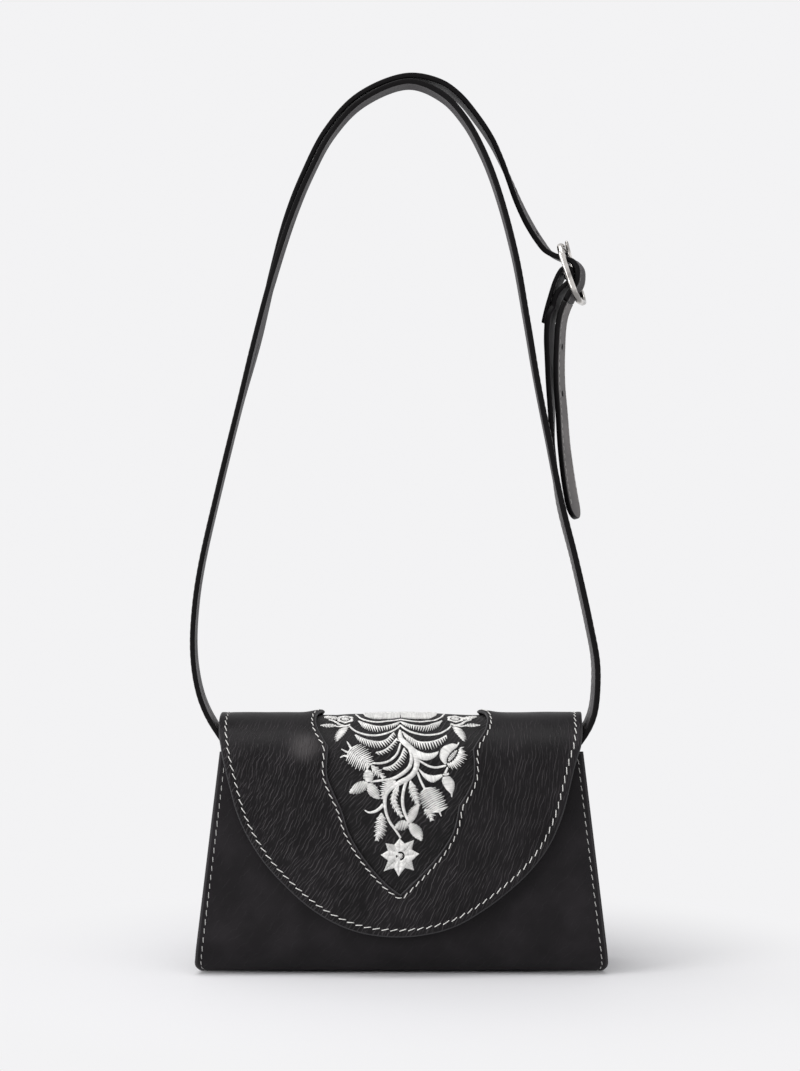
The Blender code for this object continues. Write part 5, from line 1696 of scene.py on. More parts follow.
def merged(parts):
    points, faces, base = [], [], 0
    for part_points, part_faces in parts:
        points.append(part_points)
        faces += [tuple(i + base for i in face) for face in part_faces]
        base += len(part_points)
    return np.vstack(points), faces


THREAD = 0.50 * MM
SEAM_PITCH = 4.7 * MM


def at_gap(rise, gap):
    return lambda flat: rise(flat, np.full(len(flat), gap))


flap_edge_line = shrunk(FLAP_LOOP, FLAP_SEAM_IN, 1.0 * MM)
window_line = grown(WINDOW_LOOP, WINDOW_SEAM_OUT, 0.8 * MM)
crease = float(back_run(HINGE_HEIGHT))
flap_parts = [
    stitch_row(
        flap_edge_line,
        FLAP.place,
        at_gap(flap_rise, FLAP_SEAM_IN),
        SEAM_PITCH,
        0.78,
        THREAD,
        0.14 * MM,
        slant=-0.28,
        closed=True,
        jitter=0.06,
    ),
    stitch_row(
        window_line,
        FLAP.place,
        at_gap(flap_rise, WINDOW_SEAM_OUT),
        4.4 * MM,
        0.76,
        THREAD,
        0.14 * MM,
        slant=-0.24,
        closed=True,
        jitter=0.06,
        seed=2,
    ),
]
flap_stitches = add_mesh("flap_seam_stitches", *merged(flap_parts), LOOKS["thread"])
flap_piece(flap_stitches, "grained_leather")

side_parts = []
for side in (-1, 1):
    run = np.arange(BODY.run[0] + 3 * MM, BODY.run[-1] - 3 * MM, 1 * MM)
    z = BODY.at(run)[1]
    seam = np.stack([side * (side_edge(z) - SIDE_SEAM_IN), run], axis=1)
    side_parts.append(
        stitch_row(
            seam,
            BODY.place,
            at_gap(body_rise, SIDE_SEAM_IN),
            4.75 * MM,
            0.62,
            0.45 * MM,
            0.12 * MM,
            slant=-0.12,
            jitter=0.10,
            seed=5 + side,
        )
    )
side_stitches = add_mesh("side_seam_stitches", *merged(side_parts), LOOKS["side_thread"])
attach(side_stitches, "root")


def belt_stitches(name, belt, start, end, look="dim_thread", width=0.42 * MM, raised=0.0, under=-0.05 * MM):
    parts = []
    runs = np.arange(start, end, 1 * MM)
    for sign in (-1, 1):
        line = np.stack([runs, np.full(len(runs), sign * (STRAP_WIDTH / 2 - BELT_SEAM_IN))], axis=1)
        above = at_gap(belt_rise, BELT_SEAM_IN)
        parts.append(stitch_row(line, belt.place, above, BELT_PITCH, BELT_SHARE, width, raised, jitter=0.06))
        parts.append(
            stitch_row(line, belt.place_under, None, BELT_PITCH, BELT_SHARE, width, under, jitter=0.06)
        )
    return add_mesh(name, *merged(parts), LOOKS[look])


front_stitches = belt_stitches(
    "strap_front_stitches", front_belt, front_belt.run[0] + 3 * MM, front_belt.run[-1] - 3 * MM
)
rear_stitches = belt_stitches("strap_rear_stitches", rear_belt, rear_belt.run[0] + 3 * MM, TAIL_CUT)
buckle_stitches = belt_stitches(
    "strap_buckle_end_stitches", buckle_belt, buckle_belt.run[0] + 3 * MM, buckle_belt.run[-1] - 3 * MM
)
tail_stitches = belt_stitches(
    "strap_tail_stitches",
    rear_belt,
    TAIL_CUT,
    rear_belt.run[-1] - 8 * MM,
    "side_thread",
    0.55 * MM,
    0.1 * MM,
    0.1 * MM
)
for item in (strand_front, strand_rear, strand_buckle, front_stitches, rear_stitches, buckle_stitches):
    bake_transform(item)
for item in (tail, tail_stitches):
    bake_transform(item)

# Buckle and other hardware


def rounded_path():
    path = []
    for quarter in range(4):
        sign_a = 1 if quarter in (0, 3) else -1
        sign_w = 1 if quarter in (0, 1) else -1
        for angle in np.linspace(quarter * math.pi / 2, (quarter + 1) * math.pi / 2, 14):
            a = sign_a * (FRAME_HALF_LENGTH - FRAME_CORNER) + FRAME_CORNER * math.cos(angle)
            w = sign_w * (FRAME_HALF_WIDTH - FRAME_CORNER) + FRAME_CORNER * math.sin(angle)
            path.append(BUCKLE_PLACE + LONG_WAY * a + ACROSS_WAY * w)
    return path


def squared_tube(name, path, half_a, half_b, out, look):
    """A closed bar whose section is between an oval and a square."""
    sides = 28
    power = 0.72
    item = tube(name, path, half_a, half_b, out, look, closed=True, sides=sides)
    count = len(path)
    for i, vertex in enumerate(item.data.vertices):
        ring = i // sides
        middle = Vector(path[ring])
        before, after = Vector(path[ring - 1]), Vector(path[(ring + 1) % count])
        side = (after - before).normalized().cross(out).normalized()
        angle = 2 * math.pi * (i % sides) / sides
        c, s = math.cos(angle), math.sin(angle)
        c = math.copysign(abs(c) ** power, c)
        s = math.copysign(abs(s) ** power, s)
        vertex.co = middle + side * (half_a * c) + out * (half_b * s)
    return item


buckle = squared_tube(
    "buckle_frame_metal", rounded_path(), FRAME_HALF_FACE, FRAME_HALF_THICKNESS, OUT_WAY, LOOKS["nickel"]
)
bar_ends = [BAR_MIDDLE + ACROSS_WAY * (FRAME_HALF_WIDTH * t) for t in np.linspace(-1, 1, 12)]
bar = tube("buckle_bar_metal", bar_ends, BAR_RADIUS, BAR_RADIUS, OUT_WAY, LOOKS["nickel"], sides=24)
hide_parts("buckle_frame")
for item in (buckle, bar):
    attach(item, "strap")

prong_path = []
for angle in np.linspace(math.radians(285), 0, 40):
    prong_path.append(
        BAR_MIDDLE + (PRONG_SQUARE * math.cos(angle) - PRONG_WAY * math.sin(angle)) * PRONG_COIL_RADIUS
    )
prong_path += [
    PRONG_START + (PRONG_END - PRONG_START) * t for t in (0.2, 0.4, 0.6, 0.8, 0.9, 0.95, 0.98, 1.0)
]
prong_taper = [1.0] * 45 + [0.92, 0.75, 0.35]
prong = tube(
    "buckle_prong_metal",
    prong_path,
    PRONG_RADIUS,
    PRONG_RADIUS,
    ACROSS_WAY,
    LOOKS["nickel"],
    sides=20,
    taper=prong_taper,
)
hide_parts("buckle_prong")
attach(prong, "prong")

SNAP_PLACE = Vector((0, -body_half_depth(SNAP_HEIGHT), SNAP_HEIGHT))
SNAP_OUT = Vector((0, -math.cos(TILT), math.sin(TILT)))


def rounded_corner(radius, height, size):
    """A quarter round from the side up to the top of a turned piece."""
    angles = np.linspace(0, math.pi / 2, 5)
    return [(radius - size * (1 - math.cos(a)), height - size * (1 - math.sin(a))) for a in angles]


socket_profile = [(1.6 * MM, -2.0 * MM), (1.6 * MM, 0.3 * MM), (6.5 * MM, 0.3 * MM)]
socket_profile += rounded_corner(6.5 * MM, 2.0 * MM, 0.5 * MM)
socket_profile += [
    (3.6 * MM, 2.0 * MM), (3.3 * MM, 1.9 * MM), (3.2 * MM, 1.7 * MM), (3.2 * MM, 0.8 * MM),
    (0.05 * MM, 0.8 * MM),
]
stud_top = SNAP_SPACE - GAP
stud_profile = [
    (0.05 * MM, 1.1 * MM), (1.5 * MM, 1.1 * MM), (1.85 * MM, 1.2 * MM), (2.0 * MM, 1.5 * MM),
    (2.0 * MM, stud_top - 0.6 * MM),
]
stud_profile += [
    (5.7 * MM, stud_top - 0.6 * MM), (5.9 * MM, stud_top - 0.5 * MM), (6.0 * MM, stud_top - 0.3 * MM),
    (6.0 * MM, stud_top),
]
stud_profile += [(1.4 * MM, stud_top), (1.4 * MM, stud_top + 2.0 * MM)]
for name, profile, node_name, body in (
    ("snap_socket_metal", socket_profile, "snap_socket", "root"),
    ("snap_stud_metal", stud_profile, "snap_stud", "flap"),
):
    item = turned(name, profile, SNAP_PLACE, SNAP_OUT, LOOKS["nickel"])
    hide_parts(node_name)
    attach(item, body)

RIVET_HEIGHT = 86.0 * MM
RIVET_HEAD, RIVET_SHAFT, RIVET_FOOT = 4.5 * MM, 1.5 * MM, -6.3 * MM
GUSSET_LEAN = math.atan(SIDE_LEAN)
for side, side_name in ((-1, "left"), (1, "right")):
    for lane_side, lane_name in ((-1, "front"), (1, "rear")):
        place = Vector((side * gusset_face(RIVET_HEIGHT), lane_side * LANE, RIVET_HEIGHT))
        out = Vector((side * math.cos(GUSSET_LEAN), 0, math.sin(GUSSET_LEAN)))
        dome = [
            (RIVET_HEAD * math.sin(a), 0.9 * MM + 0.6 * MM * math.cos(a))
            for a in np.linspace(0.02, math.pi / 2, 9)
        ]
        inner_dome = [(r, RIVET_FOOT - h + 0.3 * MM) for r, h in dome]
        profile = dome + [(RIVET_HEAD, 0.3 * MM), (RIVET_SHAFT, 0.3 * MM)]
        profile += [(RIVET_SHAFT, RIVET_FOOT), (RIVET_HEAD, RIVET_FOOT)] + inner_dome[::-1]
        item = turned(f"rivet_{lane_name}_{side_name}_metal", profile, place, out, LOOKS["nickel"])
        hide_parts(f"rivet_{lane_name}_{side_name}")
        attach(item, "root")

for name, material in (
    ("base_board", "board"), ("snap_socket_washer", "nickel"), ("snap_stud_washer", "nickel"),
):
    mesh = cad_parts[name].data
    mesh.materials.clear()
    mesh.materials.append(LOOKS[material])

# Embroidery: satin stitches in floss, drawn on the inset by outlines in photograph pixels

FLOSS = 0.50 * MM
FLOSS_PITCH = 0.47 * MM
CREST_RUN = float(SEEN_RUN[0])
PX_SPOT = (400, 800)
PX_NEXT = (401, 800)
PX = float(on_flap([PX_NEXT])[0, 0] - on_flap([PX_SPOT])[0, 0])
EMBROIDERY_MIDDLE_PX = 400.4
PETAL_LIFT = 0.32 * MM
rng = random.Random(11)
floss = []


def drawn(pixels):
    """A smooth line through photograph pixels, in the flap's flat measure."""
    return even(smooth(on_flap(pixels), 8), 0.2 * MM)


def at_share(line, shares):
    run = run_length(line)
    s = np.clip(shares, 0, 1) * run[-1]
    return np.stack([np.interp(s, run, line[:, k]) for k in range(2)], axis=1)


def satin(
    left,
    right,
    pitch=FLOSS_PITCH,
    slant=0.0,
    lift=0.25 * MM,
    tooth=0.0,
    shade=1.0,
    width=FLOSS,
    end_width=None,
):
    """Threads from one edge to the other, side by side."""
    length = max(run_length(left)[-1], run_length(right)[-1])
    count = max(2, int(round(length / pitch)))
    shares = (np.arange(count) + 0.5) / count
    starts = at_share(left, shares)
    ends = at_share(right, shares + slant / length)
    for i, (a, b) in enumerate(zip(starts, ends)):
        way = b - a
        size_of = np.linalg.norm(way) + 1e-9
        way = way / size_of
        reach = tooth * (i % 2) + rng.uniform(0, 0.12 * MM)
        back = tooth * ((i + 1) % 2) * 0.5 + rng.uniform(0, 0.12 * MM)
        tone = shade * rng.uniform(0.76, 1.0)
        floss.append((a - way * back, b + way * reach, lift, tone, width, end_width or width))


def edges_of(spine, widths):
    widths = np.interp(np.linspace(0, 1, len(spine)), np.linspace(0, 1, len(widths)), widths)
    step = np.gradient(spine, axis=0)
    step /= np.linalg.norm(step, axis=1, keepdims=True)
    side = np.stack([-step[:, 1], step[:, 0]], axis=1) * widths[:, None] / 2
    return spine + side, spine - side


def band(left_px, right_px, **kind):
    """Threads between two lines in photograph pixels."""
    satin(drawn(left_px), drawn(right_px), **kind)


def stem(pixels, widths, slant=0.9 * MM, **kind):
    """A rope-like band whose widths are in pixels."""
    left, right = edges_of(drawn(pixels), np.array(widths) * PX)
    satin(left, right, slant=slant, **kind)


def leaf(base, tip, width, bend=0.0, slant=0.5 * MM, full=0.9, **kind):
    """A lobe from base to tip, widest past its middle."""
    a, b = on_flap([base, tip])
    t = np.linspace(0, 1, 60)[:, None]
    way = b - a
    side = np.array([-way[1], way[0]])
    spine = a + way * t + side * (bend * np.sin(math.pi * t))
    shape = np.sin(math.pi * np.linspace(0.02, 0.985, 60) ** full) ** 0.72
    left, right = edges_of(spine, shape * width * PX)
    kind = {"pitch": 0.85 * MM, "width": 0.85 * MM, "end_width": 0.5 * MM, "tooth": 0.3 * MM, **kind}
    satin(left, right, slant=slant, **kind)


def veined(spine_px, left_px, right_px, forward=1.2 * MM, **kind):
    """A leaf or flower whose threads run from its middle line out to both toothed edges."""
    spine = drawn(spine_px)
    kind = {"pitch": 1.15 * MM, "width": 1.2 * MM, "end_width": 0.34 * MM, "tooth": 0.8 * MM, **kind}
    for edge_px in (left_px, right_px):
        satin(spine, drawn(edge_px), slant=forward, **kind)


def fringe(spine_px, tips_px, **kind):
    """A strand with threads hanging from it like the barbs of a feather."""
    spine = drawn(spine_px)
    tips = drawn(tips_px)
    satin(
        spine,
        tips,
        pitch=1.5 * MM,
        width=1.25 * MM,
        end_width=0.22 * MM,
        slant=kind.pop("slant", 0.4 * MM),
        tooth=0.25 * MM,
        **kind,
    )
    left, right = edges_of(spine, [0.75 * MM, 0.85 * MM, 0.75 * MM])
    satin(left, right, pitch=0.5 * MM, slant=0.8 * MM, lift=0.3 * MM)


def around(centre, inner, outer, start=0.0, end=360.0, wave=0, lift=0.25 * MM, shade=1.0):
    """Threads that run out from a ring, with radii in pixels."""
    middle = on_flap([centre])[0]
    span = math.radians(end - start)
    angles = math.radians(start) + np.linspace(
        0, span, max(6, int(span * (outer + inner) / 2 * PX / FLOSS_PITCH))
    )
    for angle in angles:
        way = np.array([math.cos(angle), math.sin(angle)])
        far = outer * (1 - 0.16 * (1 + math.cos(wave * angle)) / 2 if wave else 1)
        tone = shade * rng.uniform(0.84, 1.0)
        floss.append((middle + way * inner * PX, middle + way * far * PX, lift, tone, FLOSS, FLOSS))


def mirrored(pixels):
    return [(2 * EMBROIDERY_MIDDLE_PX - x, y) for x, y in pixels]


def both_sides(make, *lines, **kind):
    make(*lines, **kind)
    make(*[mirrored(line) for line in lines], **kind)


# Crest: a lens in two halves, its border and the first garlands
LENS_PX = (
    ((363.8, 712.4), (378, 712.2), (400, 712.6)),
    ((363.8, 712.2), (370, 711.4), (385, 711.2), (400, 711.9)),
    ((364.5, 713.6), (371, 716.2), (384, 717.0), (399.5, 715.6)),
)
LENS_BORDER_PX = ((355.8, 712.4), (361, 716.0), (369, 718.6), (380, 719.6), (391, 718.4), (400.4, 717.0))
GARLAND_PX = (
    ((358.0, 718.3), (366.3, 721.6), (376.5, 724.3), (389.3, 723.0), (400.4, 719.4)),
    ((361.2, 724.4), (368.9, 728.4), (377.8, 729.6), (387.5, 727.6), (397.6, 722.8)),
)
GARLAND_STEM_PX = (
    (349.1, 723.4), (354.8, 728.6), (363.8, 732.4), (376.5, 733.6), (389.3, 730.5), (396.9, 726.0),
    (400.4, 722.8),
)
LEFT_BARBS_PX = (
    ((354.8, 732.9), (361.2, 736.4), (371.4, 739.5), (379.1, 740.4), (386.7, 738.0), (394.0, 731.0)),
    (
        (356.5, 737.4), (361.6, 742.1), (369.1, 745.5), (376.9, 746.9), (386.0, 745.0), (392.4, 739.8),
        (395.6, 733.4),
    ),
)
RIGHT_BARBS_PX = (
    ((447.0, 733.4), (439.0, 738.3), (428.8, 741.3), (418.6, 740.6), (409.7, 735.5), (402.4, 730.0)),
    (
        (447.4, 736.8), (441.8, 743.2), (432.9, 747.9), (422.4, 748.5), (414.4, 745.3), (408.2, 740.0),
        (404.2, 734.6),
    ),
)
both_sides(veined, *LENS_PX, forward=0.3 * MM, tooth=0.0, pitch=0.5 * MM, shade=0.9)
both_sides(stem, LENS_BORDER_PX, widths=[1.3, 1.9, 1.9, 1.9])
both_sides(fringe, *GARLAND_PX)
both_sides(stem, GARLAND_STEM_PX, widths=[1.6, 2.0, 2.0, 2.0])
fringe(*LEFT_BARBS_PX)
fringe(*RIGHT_BARBS_PX, slant=-0.4 * MM)

# Rosettes by the window's upper corners, with their leaves
ROSETTE_PX = (345.4, 716.4)
ROSETTE_LEAF_PX = ((338.6, 716.4), (324.4, 714.6))
ROSETTE_STEM_PX = ((328.5, 716.8), (334.4, 718.6), (339.5, 721.9), (344.8, 723.6), (350, 722.0))
ROSETTE_LOW_LEAF_PX = ((336.0, 723.4), (321.0, 723.0))
ROSETTE_LOW_STEM_PX = ((334.0, 723.6), (340.5, 724.4), (346.5, 723.6))
ROSETTE_DROP_PX = (
    ((348.2, 724.6), (346.1, 729.3), (342.1, 734.6), (337.4, 739.5)),
    ((341.0, 725.5), (336.4, 731.9), (335.1, 737.0), (336.6, 739.9)),
)
for side_of in (list, mirrored):
    centre = side_of([ROSETTE_PX])[0]
    around(centre, 0.2, 4.3, shade=0.88)
    around(centre, 5.4, 9.0, wave=6)
    leaf(*side_of(ROSETTE_LEAF_PX), 6.4, tooth=0.3 * MM, lift=0.6 * MM)
    stem(side_of(ROSETTE_STEM_PX), [0.8, 2.6, 2.8, 2.2])
    leaf(*side_of(ROSETTE_LOW_LEAF_PX), 5.2, tooth=0.4 * MM)
    stem(side_of(ROSETTE_LOW_STEM_PX), [1.1, 1.4])
    drop = [side_of(line) for line in ROSETTE_DROP_PX]
    band(*drop, slant=1.0 * MM, pitch=0.8 * MM, width=0.7 * MM, end_width=0.3 * MM, tooth=0.5 * MM)

# Left side: barbs, thistle, small leaves
UPPER_FRINGE_PX = (
    ((375.3, 752.0), (382.9, 750.2), (389.3, 745.9), (396.9, 737.0)),
    ((376.9, 755.0), (384.6, 753.6), (391.4, 749.4), (398.9, 739.5)),
)
FRINGE_STEM_PX = ((370.8, 763.1), (381.6, 763.1), (389.3, 760.6), (396.9, 753.4), (400.6, 742.1))
LOWER_FRINGE_PX = (
    ((382.3, 768.7), (391.8, 766.1), (399.5, 758.7), (404.4, 747.2)),
    ((385.5, 770.6), (395.0, 770.2), (403.2, 764.0), (407.6, 752.3)),
)
THISTLE_PX = (
    ((349.5, 748.0), (358.0, 756.0), (370.0, 765.5)),
    ((354.8, 743.2), (361.8, 744.4), (368.2, 750.6), (371.8, 757.4), (371.4, 764.2)),
    ((346.0, 754.0), (346.6, 759.0), (351.0, 764.4), (359.9, 769.2), (367.2, 769.2)),
)
THISTLE_HAIRS_PX = (
    (((352.4, 749.4), (350.0, 745.6), (347.2, 740.6)), (2.6, 1.9, 0.7)),
    (((349.0, 752.4), (345.6, 750.8), (341.4, 748.4)), (2.4, 1.5, 0.6)),
    (((348.4, 756.4), (344.4, 755.4), (340.2, 757.4)), (2.4, 1.5, 0.6)),
)
THISTLE_FOOT_PX = (
    ((371.2, 765.4), (377.0, 771.4), (384.0, 778.2)),
    ((372.0, 764.6), (380.2, 770.0), (384.6, 777.0)),
    ((370.6, 766.2), (374.6, 774.4), (383.0, 778.6)),
)
LEFT_LOBES_PX = (
    ((368.9, 782.0), (366.4, 770.0), 10.0, 0.06),
    ((368.0, 783.0), (349.9, 792.6), 10.5, 0.0),
    ((368.8, 783.2), (379.2, 798.6), 10.0, 0.05),
)
fringe(*UPPER_FRINGE_PX, slant=0.7 * MM)
stem(FRINGE_STEM_PX, [1.7, 2.1, 2.1, 1.6])
fringe(*LOWER_FRINGE_PX, slant=0.7 * MM)
veined(*THISTLE_PX, tooth=0.9 * MM, lift=0.35 * MM)
for hair, widths in THISTLE_HAIRS_PX:
    stem(hair, widths)
veined(*THISTLE_FOOT_PX)
for lobe in LEFT_LOBES_PX:
    leaf(*lobe, lift=PETAL_LIFT)

# Right side: thick leaf, round flower, hanging bud
THICK_LEAF_PX = (
    ((408.0, 741.8), (417.3, 749.5), (427.6, 752.7), (438.6, 750.8)),
    ((413.0, 752.5), (418.6, 758.2), (426.3, 760.2), (433.9, 757.6), (438.4, 752.6)),
)
FLOWER_STEM_PX = ((418.6, 760.0), (427.6, 765.6), (435.2, 767.6), (446.0, 765.7))
FLOWER_LEFT_PETAL_PX = (
    (
        (444.8, 764.4), (440.5, 758.7), (439.9, 753.6), (442.0, 747.2), (448.0, 743.6), (453.1, 742.3),
        (457.2, 743.6),
    ),
    (
        (446.6, 763.4), (446.4, 759.4), (448.0, 755.2), (450.8, 751.2), (454.0, 748.2), (456.3, 746.6),
        (457.4, 745.6),
    ),
)
FLOWER_HAIR_PX = ((456.4, 744.8), (458.2, 743.0), (458.9, 741.2))
FLOWER_RIGHT_PETAL_PX = (
    ((447.6, 764.4), (453.0, 761.6), (457.0, 756.4), (459.0, 751.6), (460.0, 747.0)),
    ((448.4, 767.6), (457.2, 767.4), (463.2, 761.6), (466.2, 756.1), (463.6, 750.2), (462.2, 745.6)),
)
FLOWER_HEART_PX = ((448.4, 761.0), (456.8, 749.6))
UNDER_LEAF_PX = (
    ((418.4, 768.5), (425.0, 773.6), (432.7, 775.6), (442.0, 774.4)),
    ((420.2, 771.8), (425.0, 778.2), (432.7, 782.2), (439.2, 779.0), (442.0, 776.6)),
)
BUD_STALK_PX = ((448.2, 767.0), (446.4, 770.6), (445.4, 773.4))
BUD_CAP_PX = ((442.4, 774.2), (446.0, 775.0), (448.8, 773.8))
BUD_PX = (
    ((442.9, 776.9), (442.2, 781.6), (446.4, 789.3), (450.8, 793.6), (451.6, 797.0)),
    ((448.8, 775.6), (453.7, 781.6), (454.3, 788.0), (452.8, 793.1), (452.0, 797.0)),
)
band(*THICK_LEAF_PX, slant=-0.8 * MM, lift=0.35 * MM)
stem(FLOWER_STEM_PX, [1.8, 2.0, 1.9, 1.7])
band(*FLOWER_LEFT_PETAL_PX, lift=PETAL_LIFT, tooth=0.2 * MM)
stem(FLOWER_HAIR_PX, [1.6, 1.2, 0.8])
band(
    *FLOWER_RIGHT_PETAL_PX,
    lift=PETAL_LIFT,
    pitch=1.15 * MM,
    width=1.2 * MM,
    end_width=0.34 * MM,
    tooth=0.9 * MM,
)
leaf(*FLOWER_HEART_PX, 3.9, slant=0.2 * MM, shade=0.92)
band(*UNDER_LEAF_PX, slant=0.4 * MM, tooth=0.3 * MM)
stem(BUD_STALK_PX, [1.6, 1.9, 2.4])
stem(BUD_CAP_PX, [1.8, 2.0, 1.8])
band(*BUD_PX, slant=0.6 * MM, lift=0.35 * MM, tooth=0.15 * MM)

# Stems of the middle
CROSSING_STEM_PX = (
    (409.1, 747.2), (411.6, 756.1), (409.7, 766.3), (402.0, 774.0), (391.8, 779.1), (381.6, 780.4),
    (371.0, 781.9),
)
MAIN_STEM_PX = (
    (400.1, 727.4), (400.8, 737.0), (408.4, 745.0), (414.8, 752.4), (416.9, 761.5), (415.0, 771.0),
    (409.3, 777.6), (399.5, 782.9), (390.5, 788.6), (385.6, 795.5), (384.8, 802.0), (385.9, 811.7),
    (389.4, 821.5), (394.8, 829.2), (400.6, 837.9),
)
BEND_LEAF_PX = (
    ((396.0, 781.0), (388.0, 786.0), (383.6, 793.0), (383.0, 799.6)),
    ((393.0, 780.4), (383.2, 782.8), (380.8, 789.0), (381.8, 798.4)),
    ((394.0, 783.6), (388.0, 788.6), (384.8, 794.0), (383.6, 799.0)),
)
TENDRIL_PX = ((383.6, 804.6), (379.7, 808.6), (374.2, 811.9), (368.2, 812.5), (364.8, 810.4))
LEFT_SPEAR_PX = (
    ((381.4, 813.0), (380.4, 824.0), (376.4, 840.6)),
    ((380.4, 813.4), (376.7, 820.4), (375.5, 827.4), (375.3, 834.0), (375.9, 840.8)),
    ((382.2, 813.0), (385.5, 821.0), (385.5, 829.0), (383.4, 836.2), (377.4, 840.8)),
)
LEFT_BLADE_PX = (
    ((398.2, 784.5), (395.4, 792.2), (393.6, 800.0), (396.4, 808.6), (402.2, 817.6)),
    ((396.4, 786.0), (393.0, 792.0), (390.9, 800.0), (393.8, 809.0), (401.4, 817.6)),
    ((399.4, 786.0), (397.9, 793.0), (396.2, 800.0), (399.2, 808.0), (402.6, 816.6)),
)
MIDDLE_STEM_PX = (
    (407.2, 779.6), (404.2, 788.0), (402.5, 799.8), (403.6, 809.5), (406.8, 818.2), (409.0, 823.0),
)
RIGHT_BLADE_PX = (
    ((410.4, 780.6), (412.6, 790.0), (415.2, 798.0), (418.2, 805.6)),
    ((409.8, 782.0), (409.2, 789.6), (412.0, 798.6), (417.4, 805.4)),
    ((411.4, 781.4), (416.2, 788.4), (418.8, 797.4), (418.8, 805.0)),
)
RIGHT_STEM_PX = ((417.2, 771.0), (420.6, 780.6), (424.8, 789.0))
RIGHT_SPEAR_PX = (
    ((425.2, 788.0), (431.6, 799.0), (440.0, 812.6)),
    ((429.0, 786.6), (435.8, 788.6), (441.2, 793.8), (444.2, 801.0), (446.6, 807.6)),
    ((421.6, 789.4), (420.0, 796.0), (421.4, 803.4), (426.4, 810.4), (434.0, 812.0)),
)
SPEAR_HAIR_PX = ((436.0, 806.0), (439.4, 811.6), (441.2, 816.2))
SPEAR_TIP_PX = (
    ((424.6, 809.6), (429.0, 813.8), (431.8, 820.8)),
    ((428.6, 808.8), (434.6, 812.2), (432.6, 820.6)),
    ((422.6, 808.4), (425.6, 814.4), (431.2, 820.8)),
)
RIGHT_LOBES_PX = (
    ((409.0, 823.6), (418.6, 804.4), 8.6, -0.05),
    ((408.4, 823.6), (395.2, 827.6), 9.6, 0.0),
    ((409.4, 824.2), (421.6, 840.4), 10.4, -0.05),
)
stem(CROSSING_STEM_PX, [2.2, 3.4, 3.6, 3.6, 3.0, 2.2, 1.6], lift=PETAL_LIFT)
stem(
    MAIN_STEM_PX,
    [1.6, 5.0, 5.6, 5.6, 5.8, 5.4, 5.2, 5.0, 4.6, 4.0, 3.4, 2.7, 2.4, 2.2, 1.6],
    lift=0.4 * MM,
    slant=1.1 * MM,
)
veined(*BEND_LEAF_PX)
stem(TENDRIL_PX, [3.4, 3.0, 2.6, 1.6, 0.6])
veined(*LEFT_SPEAR_PX)
veined(*LEFT_BLADE_PX)
stem(MIDDLE_STEM_PX, [2.2, 2.8, 2.9, 2.8, 2.6, 2.0])
veined(*RIGHT_BLADE_PX)
stem(RIGHT_STEM_PX, [1.8, 2.0, 2.2])
veined(*RIGHT_SPEAR_PX, tooth=0.9 * MM, lift=0.38 * MM)
stem(SPEAR_HAIR_PX, [3.6, 2.2, 0.7])
veined(*SPEAR_TIP_PX)
for lobe in RIGHT_LOBES_PX:
    leaf(*lobe, lift=PETAL_LIFT)

# Star of eight petals
STAR_MIDDLE_PX = (400.3, 856.2)
STAR_TIPS_PX = (
    (413.8, 840.4), (413.8, 870.3), (384.0, 871.3), (385.9, 843.7), (399.7, 838.6), (418.9, 854.0),
    (398.6, 876.4), (381.1, 855.1),
)
PETAL_START_PX, PETAL_WIDEST_PX, PETAL_FOOT_PX = 4.4, 10.6, 2.6
FRONT_PETAL_HALF_PX, BACK_PETAL_HALF_PX = 6.2, 5.6
# The four diagonal petals lie lower and get a painted shade of 0.80, for the duller sheen of their threads
BACK_PETALS = 4
for number, tip in enumerate(STAR_TIPS_PX):
    front_petal = number >= BACK_PETALS
    middle = on_flap([STAR_MIDDLE_PX])[0]
    end = on_flap([tip])[0]
    way = end - middle
    long_side = np.linalg.norm(way)
    way /= long_side
    side = np.array([-way[1], way[0]])
    base = middle + way * PETAL_START_PX * PX
    corner_at = middle + way * PETAL_WIDEST_PX * PX
    half_wide = (FRONT_PETAL_HALF_PX if front_petal else BACK_PETAL_HALF_PX) * PX
    for sign in (-1, 1):
        outer = np.vstack([base + side * sign * PETAL_FOOT_PX * PX, corner_at + side * sign * half_wide, end])
        satin(
            np.vstack([base, corner_at, end]),
            even(outer, 0.2 * MM),
            slant=0.6 * MM,
            lift=(0.34 if front_petal else 0.2) * MM,
            shade=1.0 if front_petal else 0.80,
        )
around(STAR_MIDDLE_PX, 4.4, 6.8, lift=0.3 * MM)
around(STAR_MIDDLE_PX, 0.2, 3.0, shade=0.9)
for start, end in ((100, 150), (200, 232)):
    around(STAR_MIDDLE_PX, 2.6, 5.2, start=start, end=end, lift=0.3 * MM)


def over_the_crest(threads, reach):
    """The pattern near the crest runs on behind it, mirrored."""
    found = []
    for a, b, *rest in threads:
        if max(a[1], b[1]) < CREST_RUN + reach:
            found.append(
                (np.array([a[0], 2 * CREST_RUN - a[1]]), np.array([b[0], 2 * CREST_RUN - b[1]]), *rest)
            )
    return found


floss += over_the_crest(floss, 24 * MM)


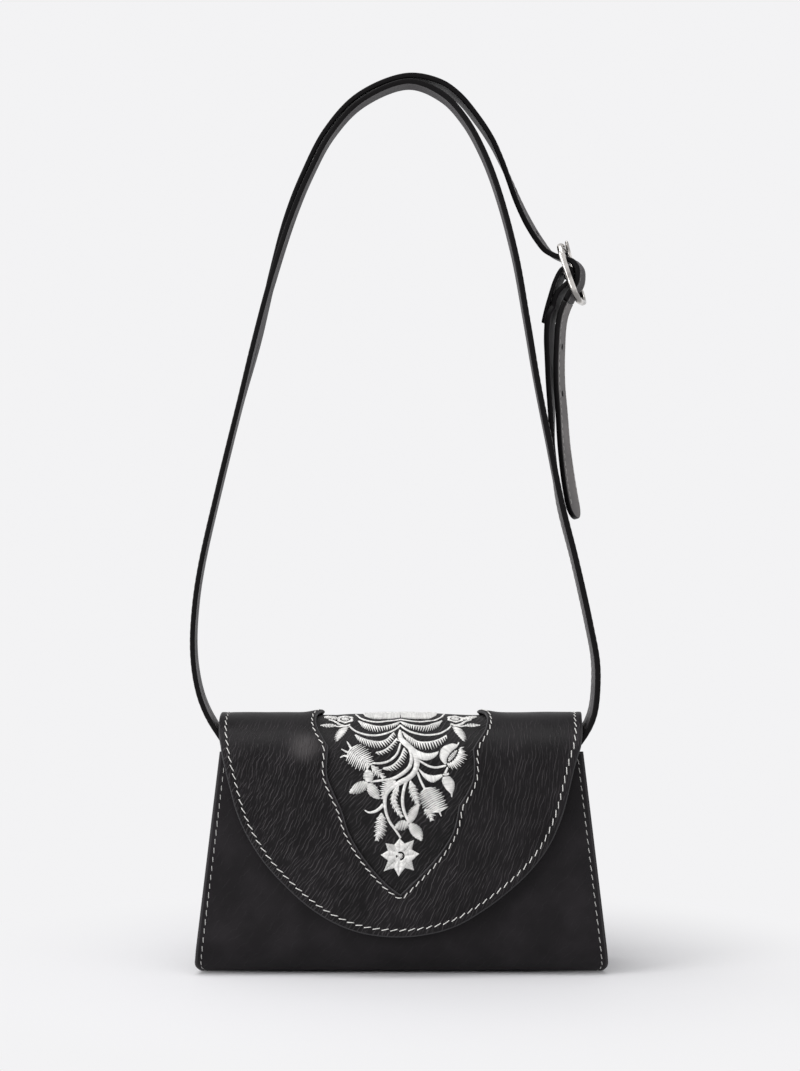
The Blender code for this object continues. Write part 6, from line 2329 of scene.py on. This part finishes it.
def lay_floss(name, threads, ground, look):
    """Threads as arched strips that lie on the leather under them."""
    tree = BVHTree.FromPolygons(
        [tuple(v.co) for v in ground.data.vertices], [tuple(p.vertices) for p in ground.data.polygons]
    )
    stations = 6
    t = np.linspace(0, 1, stations)
    a = np.array([thread[0] for thread in threads])
    b = np.array([thread[1] for thread in threads])
    lift = np.array([thread[2] for thread in threads])
    shade = np.array([thread[3] for thread in threads])
    width = np.array([[thread[4], thread[5]] for thread in threads]) @ np.array([1 - t, t])
    size_of = np.linalg.norm(b - a, axis=1)
    flat = a[:, None, :] * (1 - t)[None, :, None] + b[:, None, :] * t[None, :, None]
    way = (b - a) / np.maximum(size_of, 1e-9)[:, None]
    side = np.stack([-way[:, 1], way[:, 0]], axis=1)
    arch = np.sin(math.pi * np.clip(t, 0.0, 1.0)) ** 0.5
    raised = lift * np.clip(size_of / (2.5 * MM), 0.5, 1.2)
    section = ((-0.5, -0.12), (-0.36, 0.55), (0.0, 1.0), (0.36, 0.55), (0.5, -0.12))
    count = len(threads)
    rows = flat.reshape(-1, 2)
    spot_at, out = FLAP.place(rows)
    ground_at = np.empty(len(rows))
    for i in range(len(rows)):
        start = Vector(spot_at[i]) + Vector(out[i]) * 4 * MM
        hit = tree.ray_cast(start, -Vector(out[i]), 9 * MM)
        ground_at[i] = 4 * MM - hit[3] if hit[0] is not None else -1.5 * MM
    low = ground_at.reshape(count, stations)
    points = np.empty((count, stations, len(section), 3))
    thick = width * 0.62
    for k, (across, height) in enumerate(section):
        moved = flat + side[:, None, :] * (across * width * (0.62 + 0.38 * arch)[None, :])[:, :, None]
        place_at, way_out = FLAP.place(moved.reshape(-1, 2))
        up = low + raised[:, None] * arch[None, :] * (0.75 if abs(across) > 0.4 else 1.0)
        up = up + thick * height * (0.35 + 0.65 * arch)[None, :]
        points[:, :, k] = (place_at + way_out * up.reshape(-1, 1)).reshape(count, stations, 3)
    faces = []
    wide = len(section)
    for i in range(count):
        for j in range(stations - 1):
            first = (i * stations + j) * wide
            for k in range(wide - 1):
                faces.append((first + k, first + k + 1, first + wide + k + 1, first + wide + k))
    shades = np.repeat(shade, stations * wide)
    return add_mesh(name, points.reshape(-1, 3), faces, look, {"shade": shades})


embroidery = lay_floss("inset_embroidery", floss, inset, LOOKS["satin"])
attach(embroidery, "flap")
